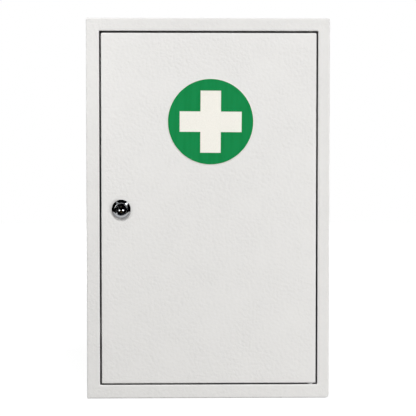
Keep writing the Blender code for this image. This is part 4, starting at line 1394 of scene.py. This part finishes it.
def close_tree(tree, given, wanted, geometry, soft=False):
    """Ends a tree with plain faces in their finish."""
    solid = realized(tree, geometry)
    if soft:
        solid = add(tree, "GeometryNodeSetShadeSmooth", {"Geometry": solid}).outputs["Geometry"]
    done = add(tree, "GeometryNodeSetMaterial", {"Geometry": solid, "Material": given["Finish"]})
    tree.links.new(done.outputs["Geometry"], wanted.inputs[0])
    return tree


def weld_bead_tree():
    """Overlapping ripples of a weld along the host's edges."""
    tree, given, wanted = node_group(
        "weld_bead",
        "GeometryNodeTree",
        [
            ("Seams", GEOMETRY, None),
            ("Bead Radius", FLOAT, 1.1 * MM),
            ("Ripple Pitch", FLOAT, 1.1 * MM),
            ("Seed", WHOLE, 4),
            ("Finish", SUBSTANCE, None),
        ],
        [("Bead", GEOMETRY)],
    )
    seams = add(tree, "GeometryNodeMeshToCurve", {"Mesh": given["Seams"]}).outputs["Curve"]
    values = {"Curve": seams, "Length": given["Ripple Pitch"]}
    points = add(tree, "GeometryNodeCurveToPoints", values, mode="LENGTH").outputs
    values = {"Segments": 10, "Rings": 6, "Radius": given["Bead Radius"]}
    ripple = add(tree, "GeometryNodeMeshUVSphere", values).outputs["Mesh"]
    jitter = add(tree, "FunctionNodeRandomValue", {"Seed": given["Seed"]}, data_type="FLOAT_VECTOR")
    fill(tree, jitter, {"Min": (0.85, 0.85, 0.55), "Max": (1.05, 1.1, 0.75)})
    beads = add(
        tree,
        "GeometryNodeInstanceOnPoints",
        {
            "Points": points["Points"],
            "Instance": ripple,
            "Rotation": points["Rotation"],
            "Scale": jitter.outputs["Value"],
        },
    ).outputs["Instances"]
    return close_tree(tree, given, wanted, beads, soft=True)


def coil_tree():
    """A coil of round wire that stands on its place, along Z."""
    tree, given, wanted = node_group(
        "coil",
        "GeometryNodeTree",
        [
            ("Host", GEOMETRY, None),
            ("Coil Radius", FLOAT, SPRING_RADIUS),
            ("Wire Radius", FLOAT, SPRING_WIRE),
            ("Length", FLOAT, SPRING_LENGTH),
            ("Turns", FLOAT, SPRING_TURNS),
            ("Place", VECTOR, None),
            ("Finish", SUBSTANCE, None),
        ],
        [("Coil", GEOMETRY)],
    )
    path = add(
        tree,
        "GeometryNodeCurveSpiral",
        {
            "Resolution": 16,
            "Rotations": given["Turns"],
            "Start Radius": given["Coil Radius"],
            "End Radius": given["Coil Radius"],
            "Height": given["Length"],
        },
    ).outputs["Curve"]
    wire = bar(tree, path, given["Wire Radius"], 8)
    stood = add(tree, "GeometryNodeTransform", {"Geometry": wire, "Translation": given["Place"]})
    return close_tree(tree, given, wanted, stood.outputs["Geometry"], soft=True)


def barrel_thread_tree():
    """Thread ridges on the round sides of a barrel that has two flats, along the lock's axis."""
    tree, given, wanted = node_group(
        "barrel_thread",
        "GeometryNodeTree",
        [
            ("Host", GEOMETRY, None),
            ("Core Radius", FLOAT, BARREL_RADIUS - THREAD_RIDGE),
            ("Ridge", FLOAT, THREAD_RIDGE),
            ("Pitch", FLOAT, THREAD_PITCH),
            ("Ridges", WHOLE, THREAD_COUNT),
            ("Start Angle", FLOAT, radians(THREAD_START)),
            ("Sweep", FLOAT, radians(THREAD_SWEEP)),
            ("Place", VECTOR, None),
            ("Finish", SUBSTANCE, None),
        ],
        [("Thread", GEOMETRY)],
    )
    sides = add(tree, "GeometryNodeJoinGeometry")
    for turn in (0.0, pi):
        path = add(
            tree,
            "GeometryNodeCurveArc",
            {
                "Resolution": 20,
                "Radius": given["Core Radius"],
                "Start Angle": maths(tree, "ADD", given["Start Angle"], turn),
                "Sweep Angle": given["Sweep"],
            },
        ).outputs["Curve"]
        tree.links.new(bar(tree, path, given["Ridge"], 4), sides.inputs["Geometry"])
    ridges = rising_row(tree, sides.outputs["Geometry"], given["Ridges"], given["Pitch"])
    spot = split(tree, add(tree, "GeometryNodeInputPosition").outputs[0])
    angle = maths(tree, "ARCTAN2", spot["Y"], spot["X"])
    lean = times(tree, maths(tree, "DIVIDE", angle, 2 * pi), given["Pitch"])
    offset = add(tree, "ShaderNodeCombineXYZ", {"Z": lean}).outputs["Vector"]
    values = {"Geometry": realized(tree, ridges), "Offset": offset}
    wound = add(tree, "GeometryNodeSetPosition", values).outputs["Geometry"]
    values = {"Geometry": wound, "Translation": given["Place"], "Rotation": (pi / 2, 0, 0)}
    laid = add(tree, "GeometryNodeTransform", values).outputs["Geometry"]
    return close_tree(tree, given, wanted, laid)


def pad_rib_tree():
    """A rubber pad: its host, with a row of round ribs across its front."""
    tree, given, wanted = node_group(
        "ribbed_pad",
        "GeometryNodeTree",
        [
            ("Pad", GEOMETRY, None),
            ("Rib Radius", FLOAT, RIB_RADIUS),
            ("Rib Length", FLOAT, 4.0 * MM),
            ("Pitch", FLOAT, RIB_PITCH),
            ("Ribs", WHOLE, 12),
            ("First Rib", VECTOR, None),
            ("Finish", SUBSTANCE, None),
        ],
        [("Ribbed Pad", GEOMETRY)],
    )
    end = add(tree, "ShaderNodeCombineXYZ", {"X": given["Rib Length"]}).outputs["Vector"]
    path = add(tree, "GeometryNodeCurvePrimitiveLine", {"End": end}).outputs["Curve"]
    rib = bar(tree, path, given["Rib Radius"], 10)
    ribs = rising_row(tree, rib, given["Ribs"], given["Pitch"], given["First Rib"])
    both = add(tree, "GeometryNodeJoinGeometry")
    tree.links.new(ribs, both.inputs["Geometry"])
    tree.links.new(given["Pad"], both.inputs["Geometry"])
    return close_tree(tree, given, wanted, both.outputs["Geometry"])


def casing_seams():
    """Where beads run in the casing's corners and along the shelves' edges."""
    inner = CASING_SHEET + BEAD_SINK
    seams = []
    for x in (casing_low.x + inner, casing_high.x - inner):
        for z in (casing_low.z + inner, casing_high.z - inner):
            soft = ROUND_CORNER_IN if x > 0 and z < 0 else CORNER_IN
            across, up = x + (-soft if x > 0 else soft), z + (-soft if z > 0 else soft)
            for start in CORNER_BEADS:
                seams.append(((across, start, up), (across, start + CORNER_BEAD_LENGTH, up)))
    for number in (1, 2):
        low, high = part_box(f"shelf_{number}")
        under = low.z - BEAD_SINK
        for x in (low.x, high.x):
            seams.append(tuple((x, low.y, high.z - down) for down in SHELF_FRONT_BEAD))
            for y in ((low.y + high.y) / 2, high.y - SHELF_BEAD_BACK):
                seams.append(((x, y, under), (x, y + SHELF_BEAD_LENGTH, under)))
    return seams


def door_seams():
    """Where beads run in the door's corners and along the pivot plates."""
    inner = DOOR_SHEET + DOOR_BEAD_IN
    seams = []
    for x in (door_low.x + inner, door_high.x - inner):
        for z in (door_low.z + inner, door_high.z - inner):
            start, stop = FRONT + DOOR_BEAD_ENDS[0], FRONT + DOOR_FLANGE - DOOR_BEAD_ENDS[1]
            seams.append(((x, start, z), (x, stop, z)))
    for end in ("lower", "upper"):
        low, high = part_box(f"{end}_pivot_plate")
        y = low.y + BEAD_SINK
        z = high.z if end == "lower" else low.z
        for start in (low.x + PLATE_BEAD_INSET, high.x - PLATE_BEAD_INSET - PLATE_BEAD_LENGTH):
            seams.append(((start, y, z), (start + PLATE_BEAD_LENGTH, y, z)))
    return seams


def build_welds():
    """Weld beads along the seams, each of which goes from one point to another."""
    tree = weld_bead_tree()
    for name, seams, radius, pitch, seed, body in (
        ("casing_welds", casing_seams(), 1.0 * MM, 0.95 * MM, 4, CASING),
        ("door_welds", door_seams(), 0.8 * MM, 0.8 * MM, 9, DOOR),
    ):
        mesh = bpy.data.meshes.new(f"{name}_seams")
        points = [point for seam in seams for point in seam]
        mesh.from_pydata(points, [(2 * i, 2 * i + 1) for i in range(len(seams))], [])
        values = {"Bead Radius": radius, "Ripple Pitch": pitch, "Seed": seed, "Finish": coat}
        dressed(grown(name, tree, mesh, values), coat, body, "powder_coat")


def build_springs():
    tree = coil_tree()
    reach = WAFER_WIDTH / 2 + WAFER_EAR - SPRING_RADIUS - SPRING_WIRE
    for index, height in enumerate(wafer_heights()):
        foot = on_lock(reach, EAR_UNDER - WAFER_ROOM - SPRING_WIRE - SPRING_LENGTH, height)
        values = {"Place": foot, "Finish": spring_steel}
        coil = grown(f"spring_{index + 1}", tree, bpy.data.meshes.new("coil_host"), values)
        dressed(coil, spring_steel, ROTOR, "zinc_plated_steel", f"wafer_spring_{index + 1}")


def build_barrel_thread():
    values = {"Place": on_lock(0, 0, BARREL_END + 1.2 * MM), "Finish": chrome_plate}
    thread = grown("barrel_thread", barrel_thread_tree(), bpy.data.meshes.new("thread_host"), values)
    dressed(thread, chrome_plate, DOOR, "chrome")


def build_pads():
    tree = pad_rib_tree()
    for end in ("lower", "upper"):
        low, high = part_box(f"stop_pad_{end}")
        face = low.y + RIB_RADIUS
        bm = new_mesh()
        outline = ring((low.x, high.x, low.z, high.z), [PAD_CORNER] * 4, 4, (2, 8))
        loops = [add_ring(bm, outline, on_back, height) for height in (high.y, face + PAD_EASE, face)]
        join_rings(bm, loops)
        bm.faces.new(loops[0])
        bm.faces.new(loops[-1])
        body = to_object("pad_body", bm)
        mesh = body.data
        bpy.data.objects.remove(body, do_unlink=True)
        count = int((high.z - low.z - 2 * RIB_RADIUS) / RIB_PITCH) + 1
        first = (low.z + high.z) / 2 - RIB_PITCH * (count - 1) / 2
        values = {
            "Rib Length": high.x - low.x - 2 * RIB_INSET,
            "Ribs": count,
            "First Rib": Vector((low.x + RIB_INSET, face, first)),
            "Finish": rubber,
        }
        pad = grown(f"{end}_ribbed_pad", tree, mesh, values)
        dressed(pad, rubber, CASING, "rubber", f"stop_pad_{end}")


# Studio


def build_camera():
    camera = placed("camera", bpy.data.cameras.new("camera"))
    camera.location = CAMERA_PLACE
    camera.rotation_euler = (radians(90 - CAMERA_DOWN), 0, radians(-CAMERA_RIGHT))
    camera.data.sensor_width = SENSOR_WIDTH
    camera.data.lens = CAMERA_LENS
    bpy.context.scene.camera = camera


def seen_rays(tree):
    """1 for rays that look straight at something, or by way of a mirror or glass."""
    path = add(tree, "ShaderNodeLightPath").outputs
    mirrored = maths(tree, "MAXIMUM", path["Is Glossy Ray"], path["Is Transmission Ray"])
    return maths(tree, "MAXIMUM", path["Is Camera Ray"], mirrored)


def build_world():
    world = bpy.data.worlds.new("studio")
    world.use_nodes = True
    tree = world.node_tree
    tree.nodes.clear()
    soft = add(tree, "ShaderNodeBackground", {"Color": WORLD_TONE, "Strength": WORLD_STRENGTH})
    white = add(tree, "ShaderNodeBackground", {"Color": WHITE, "Strength": 1.0})
    both = add(tree, "ShaderNodeMixShader", {0: seen_rays(tree), 1: soft.outputs[0], 2: white.outputs[0]})
    add(tree, "ShaderNodeOutputWorld", {"Surface": both.outputs[0]})
    bpy.context.scene.world = world


def bare_material(name):
    """A material with an empty tree."""
    made = bpy.data.materials.new(name)
    made.use_nodes = True
    made.node_tree.nodes.clear()
    return made, made.node_tree


def build_floor():
    """A pale floor that looks white round the cabinet, keeps its shadow and lights it little."""
    mesh = bpy.data.meshes.new("floor")
    corners = box_outline(-FLOOR_REACH, FLOOR_REACH, -FLOOR_REACH, FLOOR_REACH)
    mesh.from_pydata([(x, y, casing_low.z) for x, y in corners], [], [(0, 1, 2, 3)])
    floor = placed("floor", mesh)
    made, tree = bare_material("floor")
    plain = add(tree, "ShaderNodeBsdfDiffuse", {"Color": FLOOR_TONE})
    pale = add(tree, "ShaderNodeBsdfDiffuse", {"Color": FLOOR_SEEN_TONE})
    place = add(tree, "ShaderNodeTexCoord").outputs["Object"]
    away = add(tree, "ShaderNodeVectorMath", {0: place}, operation="LENGTH").outputs["Value"]
    lit = ranged(tree, away, *FLOOR_GLOW_REACH, *FLOOR_GLOW)
    glow = add(tree, "ShaderNodeEmission", {"Color": WHITE, "Strength": lit})
    both = add(tree, "ShaderNodeAddShader", {0: pale.outputs[0], 1: glow.outputs[0]})
    shown = add(tree, "ShaderNodeMixShader", {0: seen_rays(tree), 1: plain.outputs[0], 2: both.outputs[0]})
    add(tree, "ShaderNodeOutputMaterial", {"Surface": shown.outputs[0]})
    mesh.materials.append(made)


def build_backdrop():
    """A dark sheet round the front, which only mirror rays see: a painted dark reflection that polished
    metal shows above the floor.
    """
    mesh = bpy.data.meshes.new("dark_backdrop")
    bm = bmesh.new()
    grid = []
    for row in range(BACKDROP_ROWS + 1):
        rise = radians(BACKDROP_LOW + (BACKDROP_HIGH - BACKDROP_LOW) * row / BACKDROP_ROWS)
        height, reach = BACKDROP_RADIUS * sin(rise), BACKDROP_RADIUS * cos(rise)
        line = arc(reach, 180, 360, BACKDROP_COLUMNS)
        grid.append([bm.verts.new(LOCK + Vector((x, y, height))) for x, y in line])
    for low, high in zip(grid, grid[1:]):
        for column in range(BACKDROP_COLUMNS):
            bm.faces.new((low[column], low[column + 1], high[column + 1], high[column]))
    bmesh.ops.remove_doubles(bm, verts=bm.verts, dist=1e-5)
    bm.to_mesh(mesh)
    bm.free()
    backdrop = placed("dark_backdrop", mesh)
    mirror_sheet, tree = bare_material("mirror_only_dark_sheet")
    dark = add(tree, "ShaderNodeBsdfDiffuse", {"Color": MIRROR_ONLY_DARK_TONE})
    add(tree, "ShaderNodeOutputMaterial", {"Surface": dark.outputs[0]})
    mesh.materials.append(mirror_sheet)
    # Hidden from the camera, diffuse light, transmission and shadows: only mirror rays see it
    for kind in ("camera", "diffuse", "transmission", "shadow"):
        setattr(backdrop, f"visible_{kind}", False)


def build_lamp(name, place, aim, size, power, mirrored=False):
    """A soft lamp. One that is mirrored shows in polished metal."""
    light = bpy.data.lights.new(name, "AREA")
    light.shape = "RECTANGLE"
    light.size, light.size_y = size
    light.energy = power
    lamp = placed(name, light)
    lamp.location = place
    lamp.rotation_euler = (Vector(aim) - Vector(place)).to_track_quat("-Z", "Y").to_euler()
    lamp.visible_glossy = mirrored
    return lamp


def from_lock(turn, off):
    """A place seen from the lock, by its angles round and off the lock's axis."""
    off, turn = radians(off), radians(turn)
    return LOCK + STRIP_FAR * Vector((sin(off) * cos(turn), -cos(off), sin(off) * sin(turn)))


def build_strip(name, turn, off, width, power):
    """A strip that only polished metal mirrors, with its length pointing at the lock's axis."""
    low, high = from_lock(turn, off[0]), from_lock(turn, off[1])
    middle = (low + high) / 2
    lamp = build_lamp(name, middle, LOCK, (width, (high - low).length), power, mirrored=True)
    back = (middle - LOCK).normalized()
    along = (high - low).normalized()
    along = (along - back * along.dot(back)).normalized()
    lamp.rotation_euler = Matrix((along.cross(back), along, back)).transposed().to_euler()
    lamp.visible_diffuse = False


def build_studio():
    """White surroundings, five soft lamps, and four strips that draw the lock's highlights."""
    build_world()
    build_floor()
    build_backdrop()
    face = Vector((0, FRONT, 0))
    build_lamp("high", (0.5, -7.0, 7.5), face, size=(3.5, 3.5), power=765)
    build_lamp("right", (0.95, -0.95, -0.15), face, size=(0.4, 0.3), power=7.5)
    build_lamp("behind", (-1.6, 2.6, 1.5), (0, 0, 0), size=(0.9, 0.9), power=42)
    build_lamp("top_left", (-0.435, -0.413, 0.25), face, size=(0.05, 0.22), power=0.6)
    build_lamp("overhead", (0.02, -0.205, 0.42), (0, FRONT, 0.1), size=(0.5, 0.03), power=0.07)
    build_strip("left_strip", turn=126, off=(20, 80), width=0.08, power=0.13)
    build_strip("right_strip", turn=44, off=(16, 84), width=0.085, power=1.0)
    build_strip("right_catch", turn=23, off=(4.6, 11.7), width=0.07, power=0.06)
    build_strip("left_catch", turn=164.5, off=(8.4, 15.4), width=0.07, power=0.1)


def main():
    build_camera()
    build_casing()
    build_back_panel()
    build_shelves()
    build_door()
    build_sign()
    build_housing()
    build_plug()
    build_small_pieces()
    build_welds()
    build_springs()
    build_barrel_thread()
    build_pads()
    build_studio()
    scene = bpy.context.scene
    scene.view_settings.view_transform = "Standard"


main()
